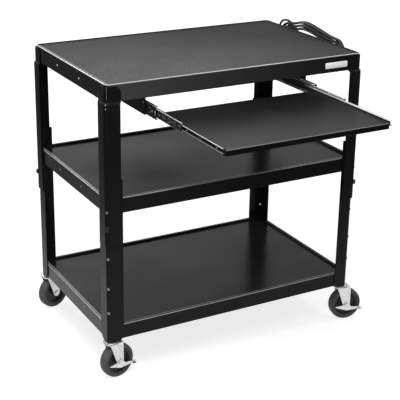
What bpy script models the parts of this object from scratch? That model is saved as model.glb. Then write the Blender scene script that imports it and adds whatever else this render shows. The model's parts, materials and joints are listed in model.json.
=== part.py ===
# Computer cart: three steel shelves on telescoping angle legs, a keyboard tray on
# three-part slides, a power strip with its cord wound on two hooks, and four casters.
# Metres, +X to the right, +Y to the rear, +Z up. The origin is on the floor, below the
# middle of the cart's box. Rest is the cart as photographed, with its tray pulled out.
import math

import bmesh
import bpy
import numpy as np
from mathutils import Euler, Matrix, Vector

# Overall sizes
shelf_width = 0.813  # 32 in
shelf_depth = 0.508  # 20 in
cart_height = 0.8636  # floor to the rim of the top shelf, 34 in
bottom_height = 0.1661  # floor to the rim of the bottom shelf

# Clearances and the one overrun that every cut has
seat_gap = 0.0003
overrun = 0.010
weld_distance = 0.00001

# Shelves, each a pan of sheet with a raised rim and a return flange under it
shelf_sheet = 0.0015
top_apron = 0.048
lower_apron = 0.0445
rim_height = 0.006
rim_width = 0.005
return_flange = 0.011
shelf_chamfer = 0.009

# Mat on the top shelf
mat_thickness = 0.003
mat_margin = 0.0006

# Legs, angles of sheet with a flat across the outer corner
leg_sheet = 0.0024
leg_chamfer = 0.009
upper_flange = 0.0455
lower_flange = 0.048
shelf_to_leg = 0.0005
leg_to_leg = 0.0008
lower_leg_foot = 0.005  # past the apron of the bottom shelf
foot_clip = 0.012

# Upper end of an upper leg, stepped inward against the top shelf
tab_drop = 0.006
tab_radius = 0.019
joggle_length = 0.005
slit_width = 0.004
slit_margin = 0.003

# Adjustment bolts and the holes that they use
hole_diameter = 0.008
bolt_shank = 0.0073
bolt_collar = 0.0160
bolt_collar_height = 0.0015
bolt_head = 0.0125
bolt_head_height = 0.0045

# Name plate, left bare
plate_width = 0.077
plate_height = 0.0175
plate_thickness = 0.001
plate_radius = 0.003
plate_center = 0.3205  # right of the cart's middle
plate_drop = 0.018

# Keyboard tray
tray_width = 0.495
tray_depth = 0.348
tray_thickness = 0.0159
tray_drop = 0.095
tray_corner = 0.006
tray_edge = 0.0012
tray_travel = 0.350  # from pulled out to closed

# Slides of the tray, three channels one inside the other on each side
slide_sheet = 0.0012
slide_drop = 0.0965  # centre line below the top rim
outer_height = 0.037
outer_length = 0.400
outer_front = 0.250  # ahead of the cart's middle, where the closed tray ends too
middle_height = 0.025
middle_length = 0.365
middle_setback = 0.033  # behind the outer member's front end, closed
inner_height = 0.014
inner_length = 0.398
inner_setback = 0.002
slide_stack = 0.0118
lip_of_outer = 0.0068
lip_of_middle = 0.0072
slide_gap = 0.0004

# Brackets that hang the slides under the top shelf
bracket_sheet = 0.002
bracket_front = 0.190
bracket_length = 0.350
bracket_drop = 0.118
bracket_foot = 0.022

# Power strip on the right apron, with its row of sockets
strip_length = 0.190
strip_height = 0.032
strip_depth = 0.034
strip_edge = 0.003
socket_length = 0.150
socket_height = 0.024
socket_thickness = 0.002
socket_count = 3
socket_slot = 0.006

# Cord, wound in two layers on the hooks
cord_diameter = 0.007
hank_turns = 6
strand_pitch = 0.0102
layer_pitch = 0.0100
hank_inner_radius = 0.021
hank_half_run = 0.126
hank_center_y = 0.029
hank_drop = 0.038  # centre below the top rim
hank_rise = 0.018  # lift of the upper runs between the hooks
hank_rise_center = 0.036  # behind the hank's centre
first_layer = 0.018  # centre of the first layer out from the apron
turn_points = 24
lead_layer = 0.0085
lead_crest = 0.018  # above the middle of the strain relief's end
relief_radius = 0.0075
relief_cone_radius = 0.0059
relief_tip_radius = 0.0048
relief_height = 0.021
relief_flange = 0.003
relief_setback = 0.024  # from the rear end of the strip
tail_length = 0.060
tail_drift = 0.004
plug_radius = 0.0135
plug_length = 0.036
plug_collar = 0.007
plug_collar_length = 0.012
blade_length = 0.017
blade_width = 0.0063
blade_thickness = 0.0015
blade_spread = 0.0127
ground_radius = 0.0024
ground_offset = 0.0075

# Hooks that carry the cord
hook_radius = 0.0035
hook_reach = 0.040
hook_bend = 0.007
hook_rise = 0.014
hook_base_radius = 0.009
hook_base_thickness = 0.0025

# Casters
wheel_radius = 0.0508  # 4 in wheels
tyre_width = 0.028
tyre_depth = 0.012
tyre_shoulder = 0.007
rim_inset = 0.0015
web_thickness = 0.008
rim_wall = 0.005
boss_radius = 0.011
caster_inset = 0.012  # swivel axis in from the shelf's faces
caster_trail = 0.018
axle_radius = 0.004
axle_head = 0.007
axle_head_height = 0.003
fork_sheet = 0.0025
fork_side_gap = 0.002
fork_back = 0.013
fork_end = 0.0115
crown_radius = 0.0205
crown_thickness = 0.003
race_radius = 0.022
race_thickness = 0.0048
neck_radius = 0.0095
kingpin_radius = 0.005
kingpin_head = 0.008
kingpin_head_height = 0.002
bearing_gap = 0.0003
plate_size = 0.040
base_plate = 0.0025
brake_sheet = 0.0025
brake_reach = 0.053  # from the axle to the pedal's tip
brake_drop = 0.019  # from the axle to the pedal's lower edge
brake_ring = 0.0095
tread_width = 0.012
tread_length = 0.010

# Swivel angles of the casters as photographed, degrees from +X
swivel_front_left = 12
swivel_front_right = -11
swivel_rear_left = 18
swivel_rear_right = 8

# Distances down from the top rim, as shares of the distance from the rim of the top
# shelf to the rim of the bottom one
rim_to_rim = cart_height - bottom_height
middle_rim_share = 0.4552
lower_leg_top_share = 0.3779
bolt_share = 0.5735
first_hole_share = 0.7044
second_hole_share = 0.8325
third_hole_share = 0.9384
upper_leg_end_share = 0.6480
bolt_drop = rim_to_rim * bolt_share
first_hole_drop = rim_to_rim * first_hole_share
second_hole_drop = rim_to_rim * second_hole_share
third_hole_drop = rim_to_rim * third_hole_share

# Levels above the floor
top_rim = cart_height
middle_rim = top_rim - rim_to_rim * middle_rim_share
bottom_rim = bottom_height
lower_leg_top = top_rim - rim_to_rim * lower_leg_top_share
upper_leg_end = top_rim - rim_to_rim * upper_leg_end_share
top_deck = top_rim - rim_height
deck_underside = top_deck - shelf_sheet
half_width = shelf_width / 2
half_depth = shelf_depth / 2

# Front ends, pulled out, ahead of the cart's middle
tray_reach = outer_front + tray_travel
middle_front = outer_front + tray_travel / 2 - middle_setback

# Outer planes of the legs, out from the shelf's faces
tab_offset = seat_gap + leg_sheet
lower_leg_offset = shelf_to_leg + leg_sheet
upper_leg_offset = lower_leg_offset + leg_to_leg + leg_sheet

# Steps of the round pieces
wheel_steps = 28
stem_steps = 20
round_steps = 16

corners = {
    "front_left": (-1, -1),
    "front_right": (1, -1),
    "rear_left": (-1, 1),
    "rear_right": (1, 1),
}
sides = {"left": -1, "right": 1}


for scene_object in list(bpy.data.objects):
    bpy.data.objects.remove(scene_object, do_unlink=True)

parts = bpy.data.collections.new("computer_cart")
cutters = bpy.data.collections.new("cutters")
bpy.context.scene.collection.children.link(parts)
bpy.context.scene.collection.children.link(cutters)


def material(name, color, roughness, metallic=0.0):
    made = bpy.data.materials.new(name)
    made.use_nodes = True
    shader = made.node_tree.nodes["Principled BSDF"]
    shader.inputs["Base Color"].default_value = (*color, 1.0)
    shader.inputs["Roughness"].default_value = roughness
    shader.inputs["Metallic"].default_value = metallic
    return made


def empty(name, location, parent=None, turn=0.0):
    frame = bpy.data.objects.new(name, None)
    frame.location = location
    frame.rotation_euler = (0, 0, turn)
    frame.parent = parent
    parts.objects.link(frame)
    return frame


def place(name, mesh, parent, finish, location=(0, 0, 0), rotation=(0, 0, 0)):
    piece = bpy.data.objects.new(name, mesh)
    piece.location = location
    piece.rotation_euler = rotation
    piece.parent = parent
    piece.data.materials.clear()
    piece.data.materials.append(finish)
    parts.objects.link(piece)
    return piece


def cutter(name, mesh, parent, location=(0, 0, 0), rotation=(0, 0, 0)):
    tool = bpy.data.objects.new(name, mesh)
    tool.location = location
    tool.rotation_euler = rotation
    tool.parent = parent
    tool.hide_render = True
    tool.display_type = "WIRE"
    cutters.objects.link(tool)
    return tool


def boolean(target, tool, operation="DIFFERENCE"):
    step = target.modifiers.new(f"{operation.lower()} {tool.name}", "BOOLEAN")
    step.operation = operation
    step.solver = "EXACT"
    step.object = tool


def smooth(mesh, angle=35):
    mesh.shade_smooth()
    mesh.set_sharp_from_angle(angle=math.radians(angle))
    return mesh


def block(size, center=(0, 0, 0)):
    # A box of the given size, its centre moved to the given place.
    form = bmesh.new()
    bmesh.ops.create_cube(form, size=1)
    bmesh.ops.scale(form, verts=form.verts, vec=size)
    bmesh.ops.translate(form, verts=form.verts, vec=center)
    mesh = bpy.data.meshes.new("block")
    form.to_mesh(mesh)
    form.free()
    return mesh


def cylinder(radius, height, steps=round_steps, center=(0, 0, 0), turn=(0, 0, 0)):
    form = bmesh.new()
    bmesh.ops.create_cone(
        form, cap_ends=True, segments=steps, radius1=radius, radius2=radius, depth=height
    )
    spot = Matrix.Translation(Vector(center)) @ Euler(turn).to_matrix().to_4x4()
    bmesh.ops.transform(form, matrix=spot, verts=form.verts)
    mesh = bpy.data.meshes.new("cylinder")
    form.to_mesh(mesh)
    form.free()
    return smooth(mesh)


def mesh_of(shape):
    # The surface that a curve or a modifier makes, as a mesh with its seams and caps
    # welded. The object that made it goes.
    bpy.context.view_layer.update()
    seen = shape.evaluated_get(bpy.context.evaluated_depsgraph_get())
    mesh = bpy.data.meshes.new_from_object(seen)
    form = bmesh.new()
    form.from_mesh(mesh)
    bmesh.ops.remove_doubles(form, verts=form.verts, dist=weld_distance)
    bmesh.ops.recalc_face_normals(form, faces=form.faces)
    form.to_mesh(mesh)
    form.free()
    bpy.data.objects.remove(shape, do_unlink=True)
    return mesh


def extrusion(points, depth, turn=(0, 0, 0), center=(0, 0, 0)):
    # A flat outline, filled and given its depth along Z, then turned and moved.
    outline = bpy.data.curves.new("outline", "CURVE")
    outline.dimensions = "2D"
    outline.fill_mode = "BOTH"
    outline.extrude = depth / 2
    spline = outline.splines.new("POLY")
    spline.points.add(len(points) - 1)
    for spot, (across, along) in zip(spline.points, points):
        spot.co = (across, along, 0, 1)
    spline.use_cyclic_u = True
    shape = bpy.data.objects.new("outline", outline)
    parts.objects.link(shape)
    mesh = mesh_of(shape)
    mesh.transform(Matrix.Translation(Vector(center)) @ Euler(turn).to_matrix().to_4x4())
    return smooth(mesh)


def turned(profile, steps=round_steps):
    # A profile of (radius, height) points that runs down its outer side, turned about Z.
    outline = bpy.data.meshes.new("profile")
    count = len(profile)
    edges = [(index, index + 1) for index in range(count - 1)]
    if profile[0][0] > 0:
        edges.append((count - 1, 0))
    outline.from_pydata([(radius, 0, height) for radius, height in profile], edges, [])
    shape = bpy.data.objects.new("profile", outline)
    parts.objects.link(shape)
    screw = shape.modifiers.new("turn", "SCREW")
    screw.axis = "Z"
    screw.steps = steps
    screw.render_steps = steps
    screw.use_merge_vertices = True
    screw.merge_threshold = weld_distance
    return smooth(mesh_of(shape))


def tube(name, points, radius, parent, finish, resolution=2):
    # A round tube along the points, with filled caps.
    path = bpy.data.curves.new(name, "CURVE")
    path.dimensions = "3D"
    path.bevel_depth = radius
    path.bevel_resolution = resolution
    path.use_fill_caps = True
    path.twist_mode = "MINIMUM"
    spline = path.splines.new("POLY")
    spline.points.add(len(points) - 1)
    for spot, point in zip(spline.points, points):
        spot.co = (*point, 1)
    piece = bpy.data.objects.new(name, path)
    piece.parent = parent
    path.materials.append(finish)
    parts.objects.link(piece)
    return piece


def arc(center, radius, start, end, steps):
    # Points along a round stretch, angles in degrees.
    angles = np.radians(np.linspace(start, end, steps + 1))
    return [(center[0] + radius * math.cos(a), center[1] + radius * math.sin(a)) for a in angles]


def rounded_rectangle(width, height, radius, steps=4):
    across, along = width / 2 - radius, height / 2 - radius
    points = arc((across, along), radius, 0, 90, steps)
    points += arc((-across, along), radius, 90, 180, steps)
    points += arc((-across, -along), radius, 180, 270, steps)
    points += arc((across, -along), radius, 270, 360, steps)
    return points


def shelf_outline(inset=0.0):
    # The shelf's plan with its cut corners, moved inward by the inset.
    across, along = half_width - inset, half_depth - inset
    cut = shelf_chamfer - inset * (2 - math.sqrt(2))
    if cut <= 0:
        return [(across, along), (-across, along), (-across, -along), (across, -along)]
    points = []
    for side, end in ((1, 1), (-1, 1), (-1, -1), (1, -1)):
        pair = [(side * across, end * (along - cut)), (side * (across - cut), end * along)]
        points += pair if side * end > 0 else pair[::-1]
    return points


black_paint = material("black powder coat", (0.012, 0.012, 0.013), 0.42)
gloss_paint = material("smooth black powder coat", (0.02, 0.02, 0.021), 0.3)
mat_rubber = material("textured mat", (0.11, 0.11, 0.112), 0.85)
tray_laminate = material("black laminate", (0.02, 0.02, 0.021), 0.35)
zinc = material("bright zinc", (0.75, 0.76, 0.78), 0.28, 1.0)
dark_steel = material("black steel", (0.03, 0.03, 0.032), 0.4, 0.6)
bare_plate = material("white plate", (0.85, 0.85, 0.85), 0.4)
black_vinyl = material("black cord", (0.012, 0.012, 0.012), 0.5)
black_plastic = material("black plastic", (0.02, 0.02, 0.02), 0.45)
grey_rubber = material("grey rubber", (0.09, 0.09, 0.09), 0.7)
wheel_plastic = material("dark wheel", (0.03, 0.03, 0.03), 0.5)
socket_plastic = material("socket plastic", (0.10, 0.10, 0.105), 0.5)

cart = empty("cart", (0, 0, 0))
lower_frame = empty("lower_frame", (0, 0, 0), cart)
upper_frame = empty("upper_frame", (0, 0, 0), cart)


def make_shelf(name, rim_level, apron, parent, finish):
    pan = place(
        name,
        extrusion(shelf_outline(), apron, center=(0, 0, rim_level - apron / 2)),
        parent,
        finish,
    )
    deck = rim_level - rim_height
    underside = deck - shelf_sheet
    flange_top = rim_level - apron + shelf_sheet
    cuts = (
        ("well", rim_width, deck, rim_level + overrun),
        ("hollow", shelf_sheet, flange_top, underside),
        ("mouth", return_flange, rim_level - apron - overrun, (flange_top + underside) / 2),
    )
    for label, inset, low, high in cuts:
        shape = extrusion(shelf_outline(inset), high - low, center=(0, 0, (low + high) / 2))
        boolean(pan, cutter(f"{name} {label}", shape, parent))
    return pan


def angle_sheet(name, corner, sections, flange, parent):
    # An angle of sheet with a flat corner. Each section is its level and how far its
    # outer planes stand out from the shelf's faces. The sheet's thickness goes inward.
    side, end = corner
    form = bmesh.new()
    rows = []
    for level, offset in sections:
        across, along = half_width + offset, half_depth + offset
        plan = (
            (across - flange, along),
            (across - leg_chamfer, along),
            (across, along - leg_chamfer),
            (across, along - flange),
        )
        rows.append([form.verts.new((side * x, end * y, level)) for x, y in plan])
    for low, high in zip(rows, rows[1:]):
        for first in range(len(low) - 1):
            ring = (low[first], low[first + 1], high[first + 1], high[first])
            form.faces.new(ring if side * end < 0 else ring[::-1])
    mesh = bpy.data.meshes.new(name)
    form.to_mesh(mesh)
    form.free()
    piece = place(name, mesh, parent, black_paint)
    wall = piece.modifiers.new("sheet", "SOLIDIFY")
    wall.thickness = leg_sheet
    wall.offset = -1
    wall.use_even_offset = True
    return piece


def corner_direction(corner):
    return math.atan2(corner[1], corner[0])


def facet_center(corner, offset):
    # Middle of the flat across a leg's outer corner.
    side, end = corner
    return (
        side * (half_width + offset - leg_chamfer / 2),
        end * (half_depth + offset - leg_chamfer / 2),
    )


def corner_hole(label, corner, drop, parent):
    # A round cut through the flats of both legs.
    x, y = facet_center(corner, upper_leg_offset)
    shape = cylinder(hole_diameter / 2, 2 * overrun, turn=(0, math.pi / 2, 0))
    return cutter(label, shape, parent, (x, y, top_rim - drop), (0, 0, corner_direction(corner)))


def flange_cutters(name, corner, offset, flange, level, waste, parent):
    # Cuts the same waste from the free edge of both flanges. It is drawn with the free
    # edge at zero, points past the edge positive, and up positive.
    side, end = corner
    across, along = half_width + offset, half_depth + offset
    flat = extrusion([(-side * u, v) for u, v in waste], 2 * overrun, (math.pi / 2, 0, 0))
    front = cutter(f"{name} front", flat, parent, (side * (across - flange), end * along, level))
    flat = extrusion([(-end * u, v) for u, v in waste], 2 * overrun, (math.pi / 2, 0, math.pi / 2))
    beside = cutter(f"{name} side", flat, parent, (side * across, end * (along - flange), level))
    return front, beside


def make_upper_leg(label, corner):
    step_low = top_rim - top_apron - joggle_length
    step_high = top_rim - top_apron
    tab_top = top_rim - tab_drop
    sections = (
        (upper_leg_end, upper_leg_offset),
        (step_low, upper_leg_offset),
        (step_high, tab_offset),
        (tab_top, tab_offset),
    )
    name = f"upper_leg_{label}"
    leg = angle_sheet(name, corner, sections, upper_flange, upper_frame)
    slit_bottom = step_high + slit_margin
    slit_height = tab_top - slit_bottom + overrun
    slit = block((2 * overrun, slit_width, slit_height), (0, 0, slit_bottom + slit_height / 2))
    spot = (*facet_center(corner, tab_offset), 0)
    boolean(leg, cutter(f"{name} slit", slit, upper_frame, spot, (0, 0, corner_direction(corner))))
    waste = [(overrun, -tab_radius), (overrun, overrun), (-tab_radius, overrun)]
    waste += arc((-tab_radius, -tab_radius), tab_radius, 90, 0, 6)
    for tool in flange_cutters(name, corner, tab_offset, upper_flange, tab_top, waste, upper_frame):
        boolean(leg, tool)
    boolean(leg, corner_hole(f"{name} bolt hole", corner, bolt_drop, upper_frame))
    return leg


def make_lower_leg(label, corner):
    bottom = bottom_rim - lower_apron - lower_leg_foot
    name = f"lower_leg_{label}"
    drops = (bolt_drop, first_hole_drop, second_hole_drop, third_hole_drop)
    between = [top_rim - (high + low) / 2 for high, low in zip(drops, drops[1:])]
    levels = [bottom] + between[::-1] + [lower_leg_top]
    sections = [(level, lower_leg_offset) for level in levels]
    leg = angle_sheet(name, corner, sections, lower_flange, lower_frame)
    for drop in drops:
        boolean(leg, corner_hole(f"{name} hole {drop}", corner, drop, lower_frame))
    waste = [(overrun, foot_clip), (overrun, -overrun), (-foot_clip, -overrun), (-foot_clip, 0), (0, foot_clip)]
    for tool in flange_cutters(name, corner, lower_leg_offset, lower_flange, bottom, waste, lower_frame):
        boolean(leg, tool)
    return leg


def make_bolt(label, corner):
    # Collar, six-sided head and a shank that ends inside the upper leg's wall.
    x, y = facet_center(corner, upper_leg_offset)
    reach = seat_gap / math.sqrt(2)
    spot = (x + corner[0] * reach, y + corner[1] * reach, top_rim - bolt_drop)
    turn = (0, math.pi / 2, corner_direction(corner))
    name = f"adjust_bolt_{label}"
    collar = cylinder(bolt_collar / 2, bolt_collar_height, center=(0, 0, bolt_collar_height / 2))
    bolt = place(name, collar, upper_frame, dark_steel, spot, turn)
    bite = bolt_collar_height / 2
    head = cylinder(
        bolt_head / math.sqrt(3), bolt_head_height + bite, 6,
        center=(0, 0, bolt_collar_height + (bolt_head_height - bite) / 2),
    )
    shank = cylinder(bolt_shank / 2, leg_sheet + bite, center=(0, 0, (bite - leg_sheet) / 2))
    boolean(bolt, cutter(f"{name} head", head, upper_frame, spot, turn), "UNION")
    boolean(bolt, cutter(f"{name} shank", shank, upper_frame, spot, turn), "UNION")
    return bolt


def channel(name, web, height, lip, length, front, side, parent):
    # A channel along Y. The web is its vertical wall's nearer face; lips go from there
    # toward the cart's middle for a positive lip and away from it for a negative one.
    wall = slide_sheet if lip > 0 else -slide_sheet
    up = height / 2
    inner = up - slide_sheet
    points = [(web, -up), (web, up), (web - lip, up), (web - lip, inner)]
    points += [(web - wall, inner), (web - wall, -inner), (web - lip, -inner), (web - lip, -up)]
    outline = [(side * x, z) for x, z in points]
    level = top_rim - slide_drop
    shape = extrusion(outline, length, (math.pi / 2, 0, 0), (0, length / 2 - front, level))
    return place(name, shape, parent, zinc)


def make_slides(label, side):
    inner_web = tray_width / 2 + seat_gap
    outer_web = inner_web + slide_stack
    middle_web = outer_web - slide_sheet - slide_gap
    inner_lip = middle_web - slide_sheet - slide_gap - inner_web
    channel(
        f"slide_outer_{label}", outer_web, outer_height, lip_of_outer, outer_length,
        outer_front, side, upper_frame,
    )
    channel(
        f"slide_middle_{label}", middle_web, middle_height, lip_of_middle, middle_length,
        middle_front, side, middle_members,
    )
    channel(
        f"slide_inner_{label}", inner_web, inner_height, -inner_lip, inner_length,
        tray_reach - inner_setback, side, tray_frame,
    )
    near = outer_web + seat_gap
    far = near + bracket_sheet
    top = deck_underside - seat_gap
    bottom = top_rim - bracket_drop
    points = [(near, bottom), (near, top), (near + bracket_foot, top)]
    points += [(near + bracket_foot, top - bracket_sheet), (far, top - bracket_sheet), (far, bottom)]
    shape = extrusion(
        [(side * x, z) for x, z in points],
        bracket_length,
        (math.pi / 2, 0, 0),
        (0, bracket_length / 2 - bracket_front, 0),
    )
    place(f"slide_bracket_{label}", shape, upper_frame, black_paint)


def make_tray():
    outline = rounded_rectangle(tray_width, tray_depth, tray_corner, 3)
    board = extrusion(outline, tray_thickness, center=(0, 0, -tray_thickness / 2))
    spot = (0, tray_depth / 2 - tray_reach, top_rim - tray_drop)
    tray = place("keyboard_tray", board, tray_frame, tray_laminate, spot)
    edge = tray.modifiers.new("eased edge", "BEVEL")
    edge.width = tray_edge
    edge.segments = 1
    edge.limit_method = "ANGLE"
    edge.angle_limit = math.radians(60)
    return tray


make_shelf("top_shelf", top_rim, top_apron, upper_frame, black_paint)
make_shelf("middle_shelf", middle_rim, lower_apron, upper_frame, gloss_paint)
make_shelf("bottom_shelf", bottom_rim, lower_apron, lower_frame, gloss_paint)

mat_level = top_deck + seat_gap
mat_shape = extrusion(
    shelf_outline(rim_width + mat_margin), mat_thickness, center=(0, 0, mat_level + mat_thickness / 2)
)
place("top_mat", mat_shape, upper_frame, mat_rubber)

for corner_name, corner_signs in corners.items():
    make_upper_leg(corner_name, corner_signs)
    make_lower_leg(corner_name, corner_signs)
    make_bolt(corner_name, corner_signs)

plate_shape = extrusion(
    rounded_rectangle(plate_width, plate_height, plate_radius, 3), plate_thickness, (math.pi / 2, 0, 0)
)
place(
    "name_plate", plate_shape, upper_frame, bare_plate,
    (plate_center, -half_depth - seat_gap - plate_thickness / 2, top_rim - plate_drop - plate_height / 2),
)

tray_frame = empty("tray_frame", (0, 0, 0), upper_frame)
middle_members = empty("middle_members", (0, 0, 0), upper_frame)
make_tray()
for side_name, side_sign in sides.items():
    make_slides(side_name, side_sign)

# Power strip, hooks and cord, all outside the right apron
hank_level = top_rim - hank_drop
apron_face = half_width
strip_near = apron_face + seat_gap
strip_far = strip_near + strip_depth

strip = place(
    "power_strip",
    block((strip_depth, strip_length, strip_height)),
    upper_frame,
    black_paint,
    ((strip_near + strip_far) / 2, hank_center_y, hank_level),
)
strip_bevel = strip.modifiers.new("folded edges", "BEVEL")
strip_bevel.width = strip_edge
strip_bevel.segments = 2

socket_shape = extrusion(
    rounded_rectangle(socket_length, socket_height, plate_radius, 3),
    socket_thickness,
    (math.pi / 2, 0, math.pi / 2),
)
sockets = place(
    "socket_row", socket_shape, upper_frame, socket_plastic,
    (strip_far + seat_gap + socket_thickness / 2, hank_center_y, hank_level),
)
for number in range(socket_count):
    place_along = (number - (socket_count - 1) / 2) * socket_length / socket_count
    for slot_side in (-1, 1):
        slot = block((overrun, blade_thickness, socket_slot))
        spot = (
            strip_far + seat_gap + socket_thickness / 2,
            hank_center_y + place_along + slot_side * blade_spread / 2,
            hank_level,
        )
        boolean(sockets, cutter(f"socket {number} slot {slot_side}", slot, upper_frame, spot))


def hook_points(y):
    level = hank_level + hank_inner_radius - cord_diameter / 2 - seat_gap - hook_radius
    start = apron_face + seat_gap + hook_base_thickness / 2
    end = apron_face + hook_reach
    bend = arc((end - hook_bend, level + hook_bend), hook_bend, -90, 0, 4)
    points = [(start, y, level)]
    points += [(x, y, z) for x, z in bend]
    points.append((end, y, level + hook_rise))
    return points


def make_hook(label, side):
    # A peg with an upturned end, on a round base that lies against the apron.
    y = hank_center_y + side * hank_half_run
    name = f"cord_hook_{label}"
    rod = tube(f"{name} rod", hook_points(y), hook_radius, upper_frame, dark_steel)
    hook = place(name, smooth(mesh_of(rod)), upper_frame, dark_steel)
    base = cylinder(hook_base_radius, hook_base_thickness, turn=(0, math.pi / 2, 0))
    spot = (apron_face + seat_gap + hook_base_thickness / 2, y, hook_points(y)[0][2])
    boolean(hook, cutter(f"{name} base", base, upper_frame, spot), "UNION")
    return hook


make_hook("front", -1)
make_hook("rear", 1)


def smoothstep(value):
    value = min(max(value, 0.0), 1.0)
    return value * value * (3 - 2 * value)


first_x = apron_face + first_layer
second_x = first_x + layer_pitch
climb_turn = hank_turns // 2

# Shares of a turn's points that each end and each run takes
end_share = 0.25
run_share = 0.25


def winding_radius(turn):
    # In at a steady rate, held for the half turn of the climb, then out again.
    held = end_share + run_share
    inward = max(climb_turn - turn, 0)
    outward = max(turn - climb_turn - held, 0)
    return hank_inner_radius + strand_pitch * (inward + outward)


def lift(y):
    # Rise of an upper run between the hooks, highest behind the hank's centre.
    to_hook = hank_half_run - math.copysign(hank_rise_center, y - hank_rise_center)
    return hank_rise * smoothstep(1 - abs(y - hank_rise_center) / to_hook)


def hank_point(turn):
    # A turn starts at the middle of the rear end, goes down and forward along the lower
    # run, up round the front end and back along the upper run.
    radius = winding_radius(turn)
    share = turn - math.floor(turn)
    lower_run = end_share / 2
    front_end = lower_run + run_share
    upper_run = front_end + end_share
    rear_end = upper_run + run_share
    if lower_run <= share < front_end:
        y = hank_half_run * (1 - 2 * (share - lower_run) / run_share)
        z = -radius
    elif upper_run <= share < rear_end:
        y = hank_half_run * (2 * (share - upper_run) / run_share - 1)
        z = radius + lift(y)
    elif front_end <= share < upper_run:
        angle = -math.pi / 2 - math.pi * (share - front_end) / end_share
        y = -hank_half_run + radius * math.cos(angle)
        z = radius * math.sin(angle)
    else:
        angle = -math.pi * share / end_share
        if share >= rear_end:
            angle = math.pi * (1 - share) / end_share
        y = hank_half_run + radius * math.cos(angle)
        z = radius * math.sin(angle)
    climb = smoothstep((turn - climb_turn - lower_run) / run_share)
    return Vector((first_x + climb * layer_pitch, hank_center_y + y, hank_level + z))


def hank_route():
    # The turns, with a straight stretch of one diameter at each end.
    count = hank_turns * turn_points
    points = [hank_point(index / turn_points) for index in range(count + 1)]
    up = Vector((0, 0, cord_diameter))
    return [points[0] + up] + points + [points[-1] - up]


def length_of(points):
    return sum((second - first).length for first, second in zip(points, points[1:]))


def least_self_gap(points, radius, apart):
    # Least distance between stretches that lie at least the given length apart along
    # the cord, less one diameter, measured on points set close together.
    fine, places, run = [], [], 0.0
    pieces = 6
    for first, second in zip(points, points[1:]):
        for step in range(pieces):
            fine.append(first.lerp(second, step / pieces))
            places.append(run + (second - first).length * step / pieces)
        run += (second - first).length
    spots = np.array(fine)
    along = np.array(places)
    least = math.inf
    for index in range(len(spots)):
        far = np.abs(along - along[index]) > apart
        if far.any():
            least = min(least, float(np.linalg.norm(spots[far] - spots[index], axis=1).min()))
    return least - 2 * radius


hank = hank_route()
tube("cord_hank", hank, cord_diameter / 2, upper_frame, black_vinyl, 1)


def smooth_route(points, spacing):
    # A smooth curve through the points, read at the given spacing.
    spots = [Vector(point) for point in points]
    padded = [spots[0] * 2 - spots[1]] + spots + [spots[-1] * 2 - spots[-2]]
    fine = []
    steps = 24
    for before, first, second, after in zip(padded, padded[1:], padded[2:], padded[3:]):
        for step in range(steps):
            t = step / steps
            fine.append(
                0.5 * (2 * first + (second - before) * t
                       + (2 * before - 5 * first + 4 * second - after) * t ** 2
                       + (3 * first - before - 3 * second + after) * t ** 3)
            )
    fine.append(spots[-1])
    route, run = [fine[0]], 0.0
    for first, second in zip(fine, fine[1:]):
        run += (second - first).length
        if run >= spacing:
            route.append(second)
            run = 0.0
    route[-1] = fine[-1]
    return route


relief_y = hank_center_y + strip_length / 2 - relief_setback
strip_top = hank_level + strip_height / 2
lead_x = apron_face + lead_layer
lead_start = Vector((lead_x, relief_y, strip_top + seat_gap + relief_height + seat_gap))
lead_end = hank[0] + Vector((0, 0, seat_gap))
crest = lead_start.z + lead_crest

# The cord's free stretch from the strip to the hank, chosen by hand: shares of the way
# across and along, and of the height from the hank's joint to the lead's crest
lead_shares = (
    (0.0, 0.06, 0.62),
    (0.0, 0.28, 0.95),
    (0.1, 0.52, 1.0),
    (0.45, 0.80, 0.80),
    (0.9, 0.97, 0.42),
)
straight = Vector((0, 0, cord_diameter))
lead_route = [lead_start + straight]
for across, along, height in lead_shares:
    lead_route.append(
        Vector(
            (
                lead_start.x + across * (lead_end.x - lead_start.x),
                lead_start.y + along * (lead_end.y - lead_start.y),
                lead_end.z + height * (crest - lead_end.z),
            )
        )
    )
lead_route.append(lead_end + straight)
lead = [lead_start] + smooth_route(lead_route, 2 * cord_diameter) + [lead_end]
tube("cord_lead", lead, cord_diameter / 2, upper_frame, black_vinyl)

tail_start = hank[-1] - Vector((0, 0, seat_gap))
tail_end = tail_start - Vector((0, tail_drift, tail_length))
tail_route = [tail_start - straight, (tail_start + tail_end) / 2, tail_end + straight]
tail = [tail_start] + smooth_route(tail_route, 2 * cord_diameter) + [tail_end]
tube("cord_tail", tail, cord_diameter / 2, upper_frame, black_vinyl)

relief_profile = [
    (0, relief_height),
    (relief_tip_radius, relief_height),
    (relief_cone_radius, relief_flange),
    (relief_radius, relief_flange),
    (relief_radius, 0),
    (0, 0),
]
place(
    "strain_relief", turned(relief_profile), upper_frame, black_plastic,
    (lead_x, relief_y, strip_top + seat_gap),
)

plug_top = tail_end - Vector((0, 0, seat_gap))
plug_face = -plug_collar_length - plug_length
plug_profile = [
    (0, 0),
    (plug_collar, 0),
    (plug_collar, -plug_collar_length),
    (plug_radius, -plug_collar_length - plug_collar),
    (plug_radius, plug_face),
    (0, plug_face),
]
plug = place("plug", turned(plug_profile), upper_frame, black_plastic, plug_top)
blade_center = plug_face + (overrun - blade_length) / 2
for blade_side in (-1, 1):
    blade = block((blade_width, blade_thickness, blade_length + overrun))
    spot = plug_top + Vector((0, blade_side * blade_spread / 2, blade_center))
    boolean(plug, cutter(f"plug blade {blade_side}", blade, upper_frame, spot), "UNION")
ground = cylinder(ground_radius, blade_length + overrun, 10)
spot = plug_top + Vector((ground_offset, 0, blade_center))
boolean(plug, cutter("plug ground pin", ground, upper_frame, spot), "UNION")

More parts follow.
